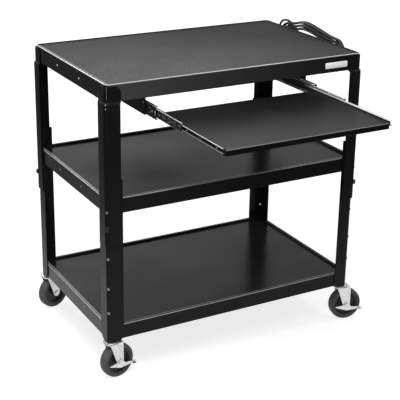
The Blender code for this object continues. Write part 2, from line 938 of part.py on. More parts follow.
cord_length = length_of(hank) + length_of(lead) + length_of(tail)
print(f"cord length {cord_length:.4f} m, in the hank {length_of(hank):.4f} m")
gap = least_self_gap(hank, cord_diameter / 2, 4 * cord_diameter)
print(f"least gap of the hank to itself {gap * 1000:.2f} mm")

# Casters
leg_foot_level = bottom_rim - lower_apron - lower_leg_foot
race_top = leg_foot_level - seat_gap
race_bottom = race_top - race_thickness
crown_top = race_bottom - bearing_gap
crown_bottom = crown_top - crown_thickness
leg_inside = tyre_width / 2 + fork_side_gap
leg_outside = leg_inside + fork_sheet


def make_stem(label, parent):
    # Plate under the shelf's flange, neck, upper race and kingpin in one.
    plate_top = bottom_rim - lower_apron - seat_gap
    head_top = crown_bottom - bearing_gap
    pin_end = head_top - kingpin_head_height
    profile = [
        (0, plate_top),
        (neck_radius, plate_top),
        (neck_radius, race_top),
        (race_radius, race_top),
        (race_radius, race_bottom),
        (kingpin_radius, race_bottom),
        (kingpin_radius, head_top),
        (kingpin_head, head_top),
        (kingpin_head, pin_end),
        (0, pin_end),
    ]
    stem = place(f"caster_stem_{label}", turned(profile, stem_steps), parent, zinc)
    side, end = corners[label]
    middle = caster_inset - shelf_chamfer / 2 - plate_size / 2
    center = (side * middle, end * middle, plate_top - base_plate / 2)
    plate = block((plate_size, plate_size, base_plate), center)
    boolean(stem, cutter(f"caster plate {label}", plate, parent), "UNION")
    return stem


def make_fork(label, parent):
    # Crown and two side plates. The wheel trails along +X of this frame.
    front = caster_trail + fork_end
    top = (crown_top + crown_bottom) / 2
    crown_size = (front + fork_back, 2 * leg_outside, crown_thickness)
    crown = block(crown_size, ((front - fork_back) / 2, 0, top))
    fork = place(f"caster_fork_{label}", crown, parent, zinc)
    disc = cylinder(crown_radius, crown_thickness, stem_steps, (0, 0, top))
    boolean(fork, cutter(f"fork disc {label}", disc, parent), "UNION")
    outline = [(-fork_back, top), (-fork_back, crown_bottom - fork_sheet)]
    outline += arc((caster_trail, wheel_radius), fork_end, -150, 0, 6)
    outline.append((front, top))
    for plate_side in (-1, 1):
        cheek = extrusion(
            outline,
            fork_sheet,
            (math.pi / 2, 0, 0),
            (0, plate_side * (leg_inside + leg_outside) / 2, 0),
        )
        boolean(fork, cutter(f"fork side {label} {plate_side}", cheek, parent), "UNION")
    bore = cylinder(kingpin_radius + bearing_gap, overrun, stem_steps, (0, 0, top))
    boolean(fork, cutter(f"fork bore {label}", bore, parent))
    axle_hole = cylinder(
        axle_radius + bearing_gap,
        2 * (leg_outside + overrun),
        center=(caster_trail, 0, wheel_radius),
        turn=(math.pi / 2, 0, 0),
    )
    boolean(fork, cutter(f"axle hole {label}", axle_hole, parent))
    return fork


def make_axle(label, parent, extra):
    # Pin through the side plates, with a head outside each. The near side carries extra.
    reach = leg_outside + seat_gap
    profile = [
        (0, reach + extra + axle_head_height),
        (axle_head, reach + extra + axle_head_height),
        (axle_head, reach + extra),
        (axle_radius, reach + extra),
        (axle_radius, -reach),
        (axle_head, -reach),
        (axle_head, -reach - axle_head_height),
        (0, -reach - axle_head_height),
    ]
    spot = (caster_trail, 0, wheel_radius)
    place(f"caster_axle_{label}", turned(profile), parent, zinc, spot, (math.pi / 2, 0, 0))


def make_wheel(label, parent):
    # Core with its boss, web and rim, and the tyre round it. The axle lies along Y.
    rim_radius = wheel_radius - tyre_depth
    rim_half = tyre_width / 2 - rim_inset
    boss_half = leg_inside - seat_gap
    bore = axle_radius + bearing_gap
    web = web_thickness / 2
    upper = [
        (bore, boss_half),
        (boss_radius, boss_half),
        (boss_radius, web),
        (rim_radius - rim_wall, web),
        (rim_radius - rim_wall, rim_half),
        (rim_radius, rim_half),
    ]
    profile = upper + [(radius, -height) for radius, height in upper[::-1]]
    turn = (math.pi / 2, 0, 0)
    core = turned(profile, wheel_steps)
    place(f"caster_wheel_{label}", core, parent, wheel_plastic, rotation=turn)
    seat = rim_radius + seat_gap
    half = tyre_width / 2
    shoulder = arc((wheel_radius - tyre_shoulder, half - tyre_shoulder), tyre_shoulder, 90, 0, 3)
    upper = [(seat, half)] + shoulder
    profile = upper + [(radius, -height) for radius, height in upper[::-1]]
    tyre = turned(profile, wheel_steps)
    place(f"caster_tyre_{label}", tyre, parent, grey_rubber, rotation=turn)


def make_brake(label, parent):
    # Pedal plate on the near side, turning on the axle, with a tread bent outward. Its
    # outline is in shares of the pedal's reach and drop.
    outline_shares = (
        (-0.72, -0.12),
        (-0.72, -0.26),
        (0.0, -1.0),
        (0.96, -0.86),
        (1.0, -0.70),
        (0.84, -0.50),
        (0.30, -0.38),
    )
    outline = [(x * brake_reach, z * brake_drop) for x, z in outline_shares]
    outline += arc((0, 0), brake_ring, 0, 180, 8)
    near = -leg_outside - seat_gap - brake_sheet / 2
    plate = extrusion(outline, brake_sheet, (math.pi / 2, 0, 0), (0, near, 0))
    lever = place(f"brake_lever_{label}", plate, parent, zinc)
    lowest_share = 0.75
    tread = block(
        (tread_length, tread_width, brake_sheet),
        (brake_reach - tread_length, near - tread_width / 2, -lowest_share * brake_drop),
    )
    boolean(lever, cutter(f"brake tread {label}", tread, parent), "UNION")
    hole = cylinder(axle_radius + bearing_gap, 2 * overrun, center=(0, near, 0), turn=(math.pi / 2, 0, 0))
    boolean(lever, cutter(f"brake hole {label}", hole, parent))
    return lever


swivels = {
    "front_left": swivel_front_left,
    "front_right": swivel_front_right,
    "rear_left": swivel_rear_left,
    "rear_right": swivel_rear_right,
}
for corner_name, (side_sign, end_sign) in corners.items():
    pivot = (
        side_sign * (half_width - caster_inset),
        end_sign * (half_depth - caster_inset),
        0,
    )
    stem_frame = empty(f"caster_{corner_name}", pivot, lower_frame)
    swivel_frame = empty(f"swivel_{corner_name}", (0, 0, 0), stem_frame, math.radians(swivels[corner_name]))
    wheel_frame = empty(f"wheel_{corner_name}", (caster_trail, 0, wheel_radius), swivel_frame)
    make_stem(corner_name, stem_frame)
    make_fork(corner_name, swivel_frame)
    braked = end_sign < 0
    make_axle(corner_name, swivel_frame, brake_sheet + seat_gap if braked else 0)
    make_wheel(corner_name, wheel_frame)
    if braked:
        make_brake(corner_name, wheel_frame)

# The frame's origin goes to the floor below the middle of the cart's box, which is
# measured without the cord and what is on it.
cord_pieces = ("cord_hank", "cord_lead", "cord_tail", "plug", "strain_relief")
bpy.context.view_layer.update()
graph = bpy.context.evaluated_depsgraph_get()
low = np.full(3, math.inf)
high = np.full(3, -math.inf)
for piece in parts.objects:
    if piece.type == "EMPTY" or piece.name in cord_pieces:
        continue
    seen = piece.evaluated_get(graph)
    mesh = seen.to_mesh()
    spots = np.array([seen.matrix_world @ corner.co for corner in mesh.vertices])
    low = np.minimum(low, spots.min(axis=0))
    high = np.maximum(high, spots.max(axis=0))
    seen.to_mesh_clear()
cart.location = (-(low[0] + high[0]) / 2, -(low[1] + high[1]) / 2, -low[2])
bpy.context.view_layer.update()
print("box", np.round(high - low, 5), "cart frame at", tuple(round(v, 6) for v in cart.location))
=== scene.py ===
# Computer cart with a pull-out keyboard tray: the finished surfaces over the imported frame.
# Metres, +X to the right, +Y to the rear, +Z up. The tray is out, as it was photographed.
import json
import math

import bmesh
import bpy
import numpy as np
from mathutils import Matrix, Vector

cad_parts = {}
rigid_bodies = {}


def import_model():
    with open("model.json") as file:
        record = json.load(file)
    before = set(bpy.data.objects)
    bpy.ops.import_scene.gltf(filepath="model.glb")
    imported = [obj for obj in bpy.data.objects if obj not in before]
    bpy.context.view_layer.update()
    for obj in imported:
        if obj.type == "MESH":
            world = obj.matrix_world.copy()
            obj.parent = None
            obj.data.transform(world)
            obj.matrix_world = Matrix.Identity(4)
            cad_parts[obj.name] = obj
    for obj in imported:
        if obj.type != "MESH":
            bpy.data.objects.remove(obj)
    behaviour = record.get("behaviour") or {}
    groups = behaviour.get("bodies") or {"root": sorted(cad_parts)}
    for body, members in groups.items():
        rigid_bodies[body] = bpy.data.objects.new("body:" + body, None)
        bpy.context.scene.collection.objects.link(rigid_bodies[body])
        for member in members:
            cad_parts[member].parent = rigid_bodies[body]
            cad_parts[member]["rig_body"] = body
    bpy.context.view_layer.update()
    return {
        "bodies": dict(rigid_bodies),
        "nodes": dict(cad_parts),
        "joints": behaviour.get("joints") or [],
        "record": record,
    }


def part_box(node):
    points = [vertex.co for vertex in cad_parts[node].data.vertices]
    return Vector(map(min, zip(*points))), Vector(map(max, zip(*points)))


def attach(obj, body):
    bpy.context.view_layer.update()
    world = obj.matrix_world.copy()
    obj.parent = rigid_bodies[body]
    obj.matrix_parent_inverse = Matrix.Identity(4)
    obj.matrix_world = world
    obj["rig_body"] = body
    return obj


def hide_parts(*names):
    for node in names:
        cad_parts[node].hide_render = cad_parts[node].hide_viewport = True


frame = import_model()
nodes = frame["nodes"]

shelfLow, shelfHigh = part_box("top_shelf")
middleX = (shelfLow.x + shelfHigh.x) / 2
middleY = (shelfLow.y + shelfHigh.y) / 2
rimLevel = shelfHigh.z
halfWidth = (shelfHigh.x - shelfLow.x) / 2
halfDepth = (shelfHigh.y - shelfLow.y) / 2
print(f"frame loaded, {len(nodes)} nodes")

photoView = {
    "place": (-1.5008, -2.5133, 1.5960),
    "heading": 28.66,  # degrees right of straight to the rear
    "downward": 19.47,
    "roll": 0.751,
    "lens": 95.96,
    "shift": (0.0274, -0.0989),
}

cameraData = bpy.data.cameras.new("photoCamera")
cameraData.lens = photoView["lens"]
cameraData.shift_x, cameraData.shift_y = photoView["shift"]
camera = bpy.data.objects.new("photoCamera", cameraData)
bpy.context.scene.collection.objects.link(camera)
camera.matrix_world = (
    Matrix.Translation(Vector(photoView["place"]))
    @ Matrix.Rotation(math.radians(-photoView["heading"]), 4, "Z")
    @ Matrix.Rotation(math.radians(90 - photoView["downward"]), 4, "X")
    @ Matrix.Rotation(math.radians(photoView["roll"]), 4, "Z")
)
bpy.context.scene.camera = camera
bpy.context.scene.view_settings.view_transform = "Standard"
print("camera set")


# A shape is a pair of points and faces.
def gridFaces(rows, columns, wrapRows, wrapColumns):
    # Four-sided faces between neighbouring rows and columns of a grid of points.
    row = np.arange(rows if wrapRows else rows - 1)
    column = np.arange(columns if wrapColumns else columns - 1)
    row, column = np.meshgrid(row, column, indexing="ij")
    nextRow, nextColumn = (row + 1) % rows, (column + 1) % columns
    corners = (row * columns + column, nextRow * columns + column)
    corners += (nextRow * columns + nextColumn, row * columns + nextColumn)
    return np.stack(corners, axis=-1).reshape(-1, 4)


def skin(grid, wrapRows=False, wrapColumns=True, caps=True):
    # The surface over a grid of points. Caps are flat faces over its first and last rows.
    rows, columns = grid.shape[:2]
    faces = gridFaces(rows, columns, wrapRows, wrapColumns).tolist()
    if caps:
        faces.append(list(range(columns)))
        faces.append(list(range((rows - 1) * columns, rows * columns)))
    return grid.reshape(-1, 3), faces


def moved(shape, matrix):
    # Each point turned by the matrix and then shifted by it.
    points, faces = shape
    turn = np.array(matrix.to_3x3())
    return points @ turn.T + np.array(matrix.translation), faces


def facing(place, direction, spin=0.0):
    # Takes local Z to the direction and the local origin to the place.
    aim = Vector(direction).to_track_quat("Z", "Y").to_matrix().to_4x4()
    return Matrix.Translation(Vector(place)) @ aim @ Matrix.Rotation(spin, 4, "Z")


def eased(corners, reach, steps=4, closed=True, hold=0.0008):
    # Each corner of an outline becomes a parabola that starts and ends at the given reach
    # from it: (1-s)^2 start + 2s(1-s) corner + s^2 end. One point more on either side holds
    # the flats flat when they are shaded. Works on a stack of outlines too.
    corners = np.asarray(corners, float)
    before = np.roll(corners, 1, axis=-2) - corners
    after = np.roll(corners, -1, axis=-2) - corners
    if not closed:
        before[..., 0, :] = 0
        after[..., -1, :] = 0
    sizes = [np.linalg.norm(side, axis=-1, keepdims=True) for side in (before, after)]
    sizes = [np.maximum(size, 1e-9) for size in sizes]
    before, after = before / sizes[0], after / sizes[1]
    reach = np.broadcast_to(np.asarray(reach, float)[..., None], sizes[0].shape)
    near = [np.minimum(reach, 0.45 * size) for size in sizes]
    far = [part + np.minimum(hold, 0.04 * size) for part, size in zip(near, sizes)]
    start, end = corners + before * near[0], corners + after * near[1]
    s = np.linspace(0, 1, steps)[:, None]
    first, last = corners + before * far[0], corners + after * far[1]
    parts = (start, corners, end, first, last)
    start, middle, end, first, last = (part[..., None, :] for part in parts)
    bends = (1 - s) ** 2 * start + 2 * s * (1 - s) * middle + s**2 * end
    bends = np.concatenate([first, bends, last], axis=-2)
    return bends.reshape(*corners.shape[:-2], -1, corners.shape[-1])


def turned(profile, steps):
    # Radius and height along a profile, turned once round Z.
    radius, height = np.asarray(profile, float).T
    angle = np.linspace(0, 2 * math.pi, steps, endpoint=False)
    across = np.outer(radius, np.cos(angle))
    along = np.outer(radius, np.sin(angle))
    return np.stack([across, along, np.repeat(height[:, None], steps, axis=1)], axis=-1)


def lathe(profile, steps=64):
    return skin(turned(profile, steps))


def ringLathe(profile, steps=64):
    # The same for a closed profile that goes round a hole.
    return skin(turned(profile, steps), wrapRows=True, caps=False)


def rod(section, path, sideways=(1, 0, 0)):
    # A closed section of (sideways, other) points carried along a path. At each point of
    # the path the section stands square to the tangent, with its first axis kept as near
    # as can be to the sideways direction.
    path, section = np.asarray(path, float), np.asarray(section, float)
    sideways = np.asarray(sideways, float)
    tangent = np.gradient(path, axis=0)
    tangent /= np.linalg.norm(tangent, axis=1, keepdims=True)
    first = sideways - tangent * (tangent @ sideways)[:, None]
    first /= np.linalg.norm(first, axis=1, keepdims=True)
    second = np.cross(tangent, first)
    across, along = section[None, :, :1], section[None, :, 1:]
    return skin(path[:, None] + across * first[:, None] + along * second[:, None])


def roundSection(radius, sides=16):
    # A circle by its angle.
    angle = np.linspace(0, 2 * math.pi, sides, endpoint=False)
    return np.stack([radius * np.cos(angle), radius * np.sin(angle)], axis=1)


def rectangle(width, height):
    # Four corners, anticlockwise.
    across, along = width / 2, height / 2
    return np.array([(across, along), (-across, along), (-across, -along), (across, -along)])


def squareTo(steps):
    # A unit vector square to each step of an outline.
    sizes = np.maximum(np.linalg.norm(steps, axis=1, keepdims=True), 1e-9)
    return np.stack([steps[:, 1], -steps[:, 0]], axis=1) / sizes


def slab(outline, thickness, edge=0.0004, steps=3):
    # A flat outline with depth along Z from zero. Its two rims are drawn in by the edge
    # along quarter circles, so that they catch the light.
    outline = np.asarray(outline, float)
    following = np.roll(outline, -1, axis=0)
    outward = squareTo(outline - np.roll(outline, 1, axis=0)) + squareTo(following - outline)
    outward /= np.maximum(np.linalg.norm(outward, axis=1, keepdims=True), 1e-9)
    area = np.sum(outline[:, 0] * following[:, 1] - outline[:, 1] * following[:, 0])
    outward *= math.copysign(1, area)
    angle = np.linspace(0, math.pi / 2, steps)
    fromSide, fromFace = edge * (1 - np.sin(angle)), edge * (1 - np.cos(angle))
    inset = np.concatenate([fromSide, fromFace])
    height = np.concatenate([fromFace, thickness - fromSide])
    flat = outline[None] - inset[:, None, None] * outward[None]
    return skin(np.dstack([flat, np.repeat(height[:, None], len(outline), axis=1)]))


def ball(radius, steps=12):
    # A half circle turned round Z.
    angle = np.linspace(-math.pi / 2, math.pi / 2, steps // 2 + 1)
    return lathe(np.stack([radius * np.cos(angle), radius * np.sin(angle)], axis=1), steps)


def hexHead(acrossFlats, height, steps=48):
    # Radius of a hexagon by angle, filled inward. The corners drop where a cone cuts them.
    angle = np.linspace(0, 2 * math.pi, steps, endpoint=False)
    edge = acrossFlats / 2 / np.cos((angle + math.pi / 6) % (math.pi / 3) - math.pi / 6)
    share = np.array([1.0, 1.0, 0.96, 0.9, 0.8, 0.0])[:, None]
    radius = share * edge
    level = height - 0.55 * np.maximum(radius - 0.47 * acrossFlats, 0)
    level[0] = 0
    return skin(np.stack([radius * np.cos(angle), radius * np.sin(angle), level], axis=-1))


def screwHead(radius, height, recess=0.0009, steps=48):
    # A domed head with a cross driven into it: the dome less a dip near either arm.
    angle = np.linspace(0, 2 * math.pi, steps, endpoint=False)
    share = np.concatenate([[1.0, 1.0, 0.97, 0.9, 0.8], np.linspace(0.7, 0.0, 14)])[:, None]
    x, y = radius * share * np.cos(angle), radius * share * np.sin(angle)
    level = height * np.sqrt(np.clip(1 - (0.92 * share) ** 2, 0, 1)) * np.ones_like(x)
    arm = np.minimum(np.abs(x), np.abs(y))
    dip = np.clip(1.4 - arm / (0.13 * radius), 0, 1) * np.clip((0.62 - share) / 0.08, 0, 1)
    level = level - recess * dip
    level[0] = 0
    return skin(np.stack([x, y, level], axis=-1))


def cleaned(mesh, seam, flatness=None):
    # Closes the seams between points nearer than the given width. With a flatness, joins
    # the faces that turn by less, and otherwise turns them all outward.
    form = bmesh.new()
    form.from_mesh(mesh)
    bmesh.ops.remove_doubles(form, verts=form.verts, dist=seam)
    if flatness:
        bmesh.ops.dissolve_limit(form, angle_limit=flatness, verts=form.verts, edges=form.edges)
    else:
        bmesh.ops.recalc_face_normals(form, faces=form.faces)
    form.to_mesh(mesh)
    form.free()


def dressed(name, mesh, finish, angle, body, replaced):
    # The object of a finished mesh, shaded smooth up to the angle and riding on its body.
    mesh.shade_smooth()
    mesh.set_sharp_from_angle(angle=math.radians(angle))
    mesh.materials.append(finish)
    piece = bpy.data.objects.new(name, mesh)
    bpy.context.scene.collection.objects.link(piece)
    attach(piece, body)
    if replaced:
        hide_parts(*replaced)
    return piece


def makePiece(name, shapes, finish, body, replaced=(), angle=35, paintedLightShares=None):
    # Joins the shapes into one object. The painted light shares take the points to a share from -1
    # to 1, kept as an attribute of painted highlight, sheen and shade that the finish reads.
    points, faces, start = [], [], 0
    for shapePoints, shapeFaces in shapes:
        points.append(shapePoints)
        faces += [[index + start for index in face] for face in shapeFaces]
        start += len(shapePoints)
    mesh = bpy.data.meshes.new(name)
    mesh.from_pydata(np.concatenate(points).tolist(), [], faces)
    cleaned(mesh, 0.000001)
    if paintedLightShares:
        spots = np.empty(len(mesh.vertices) * 3)
        mesh.vertices.foreach_get("co", spots)
        share = mesh.attributes.new("polish", "FLOAT", "POINT")
        share.data.foreach_set("value", paintedLightShares(spots.reshape(-1, 3)))
    return dressed(name, mesh, finish, angle, body, replaced)


def softened(name, node, width, finish):
    # A copy of a CAD node with its flat faces joined and a narrow round along every sharp
    # edge, as paint leaves it.
    mesh = nodes[node].data.copy()
    mesh.name = name
    mesh.materials.clear()
    cleaned(mesh, 0.00001, math.radians(0.6))
    sharp = 32
    piece = dressed(name, mesh, finish, sharp, nodes[node]["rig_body"], (node,))
    edge = piece.modifiers.new("easedEdges", "BEVEL")
    edge.width = width
    edge.segments = 2
    edge.limit_method = "ANGLE"
    edge.angle_limit = math.radians(sharp)
    edge.harden_normals = True
    return piece


# Finishes read the pieces' own coordinates, in metres.


def newFinish(name, color, roughness, metallic=0.0, specular=0.5, coat=0.0):
    finish = bpy.data.materials.new(name)
    finish.use_nodes = True
    shader = finish.node_tree.nodes["Principled BSDF"]
    shader.inputs["Base Color"].default_value = (*color, 1)
    shader.inputs["Roughness"].default_value = roughness
    shader.inputs["Metallic"].default_value = metallic
    shader.inputs["Specular IOR Level"].default_value = specular
    shader.inputs["Coat Weight"].default_value = coat
    return finish, finish.node_tree, shader


def grey(value, blue=0.0):
    return value, value, value + blue


def feed(tree, value, socket):
    # Links another node's output to the socket, or sets the socket's own value.
    if isinstance(value, bpy.types.NodeSocket):
        tree.links.new(value, socket)
    else:
        socket.default_value = (*value, 1) if isinstance(value, tuple) else value


def grain(tree, scale, detail=3.0, stretch=(1, 1, 1), kind="ShaderNodeTexNoise"):
    place = tree.nodes.new("ShaderNodeTexCoord")
    fit = tree.nodes.new("ShaderNodeMapping")
    fit.inputs["Scale"].default_value = stretch
    tree.links.new(place.outputs["Object"], fit.inputs["Vector"])
    pattern = tree.nodes.new(kind)
    pattern.inputs["Scale"].default_value = scale
    if kind == "ShaderNodeTexNoise":
        pattern.inputs["Detail"].default_value = detail
    tree.links.new(fit.outputs["Vector"], pattern.inputs["Vector"])
    return pattern.outputs[0]


def spread(tree, source, low, high, fromLow=0.3, fromHigh=0.7):
    # Takes a range of the source, by default a pattern's middle, to the given one.
    reach = tree.nodes.new("ShaderNodeMapRange")
    values = {"From Min": fromLow, "From Max": fromHigh, "To Min": low, "To Max": high}
    for socket, value in {"Value": source, **values}.items():
        feed(tree, value, reach.inputs[socket])
    return reach.outputs["Result"]


def tint(tree, source, dark, light, fromLow=0.3, fromHigh=0.7):
    ramp = tree.nodes.new("ShaderNodeValToRGB")
    ends = ramp.color_ramp.elements
    ends[0].position, ends[1].position = fromLow, fromHigh
    ends[0].color, ends[1].color = (*dark, 1), (*light, 1)
    tree.links.new(source, ramp.inputs["Fac"])
    return ramp.outputs["Color"]


def mixed(tree, share, first, second, blend="MIX"):
    # Two colours by the share of the second.
    mix = tree.nodes.new("ShaderNodeMix")
    mix.data_type = "RGBA"
    mix.blend_type = blend
    for socket, value in (("Factor", share), ("A", first), ("B", second)):
        feed(tree, value, mix.inputs[socket])
    return mix.outputs["Result"]


def reckoned(tree, operation, first, second):
    answer = tree.nodes.new("ShaderNodeMath")
    answer.operation = operation
    tree.links.new(first, answer.inputs[0])
    tree.links.new(second, answer.inputs[1])
    return answer.outputs["Value"]


def relief(tree, shader, *layers):
    # Bumps one over the other, each a pattern and its height in metres.
    under = None
    for source, height in layers:
        bump = tree.nodes.new("ShaderNodeBump")
        bump.inputs["Strength"].default_value = 1.0
        bump.inputs["Distance"].default_value = height
        tree.links.new(source, bump.inputs["Height"])
        if under is not None:
            tree.links.new(under, bump.inputs["Normal"])
        under = bump.outputs["Normal"]
    tree.links.new(under, shader.inputs["Normal"])


def reading(tree, kind, axis):
    # One axis of the object's own coordinates or of its normals.
    place = tree.nodes.new("ShaderNodeTexCoord")
    parts = tree.nodes.new("ShaderNodeSeparateXYZ")
    tree.links.new(place.outputs[kind], parts.inputs["Vector"])
    return parts.outputs[axis]


def lookingUp(tree):
    # One on faces that look up, zero on the sides.
    return spread(tree, reading(tree, "Normal", "Z"), 0.0, 1.0, 0.6, 0.95)


def paintedLightShare(tree):
    # The attribute of painted light that makePiece writes.
    polish = tree.nodes.new("ShaderNodeAttribute")
    polish.attribute_name = "polish"
    return polish.outputs["Fac"]


paintLook = {
    "tones": 5,  # scale of the slow change of tone
    # A painted reflection of the white floor, lighter low down on the legs and the lower shelves
    "dust": grey(0.011),
    "dustThins": (0.12, 0.72),  # between these heights
    "rubbed": grey(0.34, 0.002),  # painted highlight, by its share: colour, roughness and sheen
    "rubbedRoughness": 0.24,
    "rubbedSheen": 0.7,
    # The decks' sheen, painted stronger to the left and lower down by ranges of it from one place
    # to another, then random clouds of it
    "sheenAcross": (1.3, 0.62, -0.38, 0.12),
    "sheenByLevel": (1.5, 0.93, 0.15, 0.45),
    "clouds": (0.70, 1.10, 0.35, 0.65),
    # A spot of painted shade on the middle shelf's front left: its middle, least sheen and reach
    "patchPlace": (-0.19, 0.04, 0.54),
    "patch": (0.25, 1.0, 0.0, 0.26),
}


def powderCoat(name, dark, light, roughness, specular, deck, peel, fleck):
    # Baked paint: shallow orange peel, finer flecks, a slow change of tone and sheen, and a painted
    # reflection of the white floor that lightens it low down. Faces that look up get a stronger
    # sheen, which is painted stronger or weaker from place to place, and the painted light share
    # gives the rolled rims grey painted highlights.
    look = paintLook
    finish, tree, shader = newFinish(name, dark, roughness, specular=specular)
    share = paintedLightShare(tree)
    nearFloor = spread(tree, reading(tree, "Object", "Z"), 1.0, 0.0, *look["dustThins"])
    color = mixed(tree, nearFloor, tint(tree, grain(tree, look["tones"], 4), dark, light), look["dust"])
    tree.links.new(mixed(tree, share, color, look["rubbed"]), shader.inputs["Base Color"])
    matt = spread(tree, grain(tree, 40, 5), roughness * 0.9, roughness * 1.12)
    matt = spread(tree, share, matt, look["rubbedRoughness"], 0.0, 1.0)
    tree.links.new(matt, shader.inputs["Roughness"])

    start, end, *places = look["sheenAcross"]
    sheen = spread(tree, reading(tree, "Object", "X"), deck * start, deck * end, *places)
    byLevel = spread(tree, reading(tree, "Object", "Z"), *look["sheenByLevel"])
    sheen = reckoned(tree, "MULTIPLY", sheen, byLevel)
    sheen = reckoned(tree, "MULTIPLY", sheen, spread(tree, grain(tree, 4.0, 1), *look["clouds"]))
    # Painted shade: less sheen near the spot's middle
    source = tree.nodes.new("ShaderNodeTexCoord")
    away = tree.nodes.new("ShaderNodeVectorMath")
    away.operation = "DISTANCE"
    tree.links.new(source.outputs["Object"], away.inputs[0])
    away.inputs[1].default_value = look["patchPlace"]
    sheen = reckoned(tree, "MULTIPLY", sheen, spread(tree, away.outputs["Value"], *look["patch"]))
    # A painted light share below zero takes the sheen away: a painted shade line on the tops of the
    # lower rims
    kept = reckoned(tree, "MULTIPLY", lookingUp(tree), spread(tree, share, 0.0, 1.0, -1.0, 0.0))
    level = spread(tree, kept, specular, sheen, 0.0, 1.0)
    level = spread(tree, share, level, look["rubbedSheen"], 0.0, 1.0)
    tree.links.new(level, shader.inputs["Specular IOR Level"])
    relief(tree, shader, (grain(tree, 320, 2), peel), (grain(tree, 1500, 2), fleck))
    return finish


texturedPaint = powderCoat(
    "texturedPaint", grey(0.0045), grey(0.0062), 0.32, 0.085, 0.085, 0.00003, 0.00002
)
smoothPaint = powderCoat(
    "smoothPaint", grey(0.0048), grey(0.0065), 0.22, 0.085, 0.080, 0.0000006, 0.0
)

matLook = {
    "mottle": (grey(0.040, 0.001), grey(0.098, 0.002)),
    "broad": (grey(0.72), grey(1.0)),
    "broadShare": 0.75,
    # Painted shade, darker to the right and the rear: shares from place to place
    "toRight": (0.0, 0.85, -0.15, 0.38),
    "toRear": (0.0, 0.62, 0.05, 0.40),
    "faded": grey(0.3),
    # Colour of the painted highlight on the bead
    "rubbed": grey(0.21, 0.002),
}


def matFinish():
    # Ribless anti-slip rubber: pebbles from cells, mottled greys, painted shade to the right and
    # the rear, and a painted highlight on the bead.
    look = matLook
    finish, tree, shader = newFinish("pebbledMat", grey(0.1), 0.72, specular=0.12)
    mottle = grain(tree, 130, 6)
    broad = tint(tree, grain(tree, 9, 3), *look["broad"])
    color = mixed(tree, look["broadShare"], tint(tree, mottle, *look["mottle"]), broad, "MULTIPLY")
    toRight = spread(tree, reading(tree, "Object", "X"), *look["toRight"])
    toRear = spread(tree, reading(tree, "Object", "Y"), *look["toRear"])
    faded = tint(tree, reckoned(tree, "ADD", toRight, toRear), grey(1.0), look["faded"], 0.0, 1.0)
    color = mixed(tree, 1.0, color, faded, "MULTIPLY")
    color = mixed(tree, paintedLightShare(tree), color, look["rubbed"])
    tree.links.new(color, shader.inputs["Base Color"])
    tree.links.new(spread(tree, mottle, 0.62, 0.82), shader.inputs["Roughness"])
    pebbles = grain(tree, 520, kind="ShaderNodeTexVoronoi")
    relief(tree, shader, (pebbles, 0.00035), (mottle, 0.00025))
    return finish


laminateLook = {
    "tones": (grey(0.006), grey(0.009)),
    # Colour of the painted highlight on the tray's edges
    "rubbed": grey(0.26, 0.002),
    "sideSheen": 0.02,
    "topSheen": (0.24, 0.055, -0.26, 0.17),  # a painted sheen, most at the left, from place to place
}


def laminateFinish():
    # Black pressure laminate: a faint fine texture, long soft smears of wiping, a stronger sheen on
    # top painted strongest at the left, and a painted highlight on the edge by its painted light
    # share.
    look = laminateLook
    finish, tree, shader = newFinish("blackLaminate", grey(0.007), 0.36, specular=0.12)
    smear = grain(tree, 14, 5, (1, 0.25, 1))
    color = mixed(tree, paintedLightShare(tree), tint(tree, smear, *look["tones"]), look["rubbed"])
    tree.links.new(color, shader.inputs["Base Color"])
    tree.links.new(spread(tree, smear, 0.33, 0.40), shader.inputs["Roughness"])
    top = spread(tree, reading(tree, "Object", "X"), *look["topSheen"])
    level = spread(tree, lookingUp(tree), look["sideSheen"], top, 0.0, 1.0)
    tree.links.new(level, shader.inputs["Specular IOR Level"])
    relief(tree, shader, (grain(tree, 900, 3), 0.000006))
    return finish


def platedSteel(name, dark, light, roughness):
    # Plating: small spangles in brightness, and dull spots.
    finish, tree, shader = newFinish(name, light, roughness, metallic=1.0)
    spangle = grain(tree, 260, 4)
    tree.links.new(tint(tree, spangle, dark, light), shader.inputs["Base Color"])
    spots = spread(tree, grain(tree, 90, 5), roughness * 0.75, roughness * 1.35)
    tree.links.new(spots, shader.inputs["Roughness"])
    relief(tree, shader, (spangle, 0.00002))
    return finish


brightZinc = platedSteel("brightZinc", (0.46, 0.465, 0.47), (0.70, 0.705, 0.71), 0.36)
dullZinc = platedSteel("dullZinc", grey(0.17, 0.002), grey(0.30, 0.003), 0.42)
ballSteel = platedSteel("ballSteel", grey(0.72, 0.01), grey(0.92, 0.01), 0.16)
blackSteel = platedSteel("blackSteel", grey(0.03, 0.001), grey(0.055, 0.002), 0.42)


def slideFinish():
    # Dark passivated steel, drawn along the slide, with grey painted highlights by its painted
    # light share.
    finish, tree, shader = newFinish("slideSteel", grey(0.05), 0.30, metallic=0.35, specular=0.04)
    drawn = grain(tree, 900, 3, (1, 0.05, 1))
    dark = tint(tree, drawn, grey(0.012, 0.001), grey(0.028, 0.001))
    bright = tint(tree, drawn, grey(0.50, 0.01), grey(0.72, 0.01))
    tree.links.new(mixed(tree, paintedLightShare(tree), dark, bright), shader.inputs["Base Color"])
    tree.links.new(spread(tree, drawn, 0.22, 0.34), shader.inputs["Roughness"])
    return finish


slideSteel = slideFinish()
slotShadow = newFinish("slotShadow", grey(0.0008), 0.9, specular=0.0)[0]


def rubberFinish(name, dark, light, roughness, specular=0.3):
    # Moulded rubber: cloudy bloom and fine pits.
    finish, tree, shader = newFinish(name, dark, roughness, specular=specular)
    bloom = grain(tree, 60, 6)
    tree.links.new(tint(tree, bloom, dark, light), shader.inputs["Base Color"])
    matt = spread(tree, bloom, roughness * 0.9, roughness * 1.1)
    tree.links.new(matt, shader.inputs["Roughness"])
    relief(tree, shader, (grain(tree, 1100, 3), 0.00004), (grain(tree, 180, 2), 0.00005))
    return finish


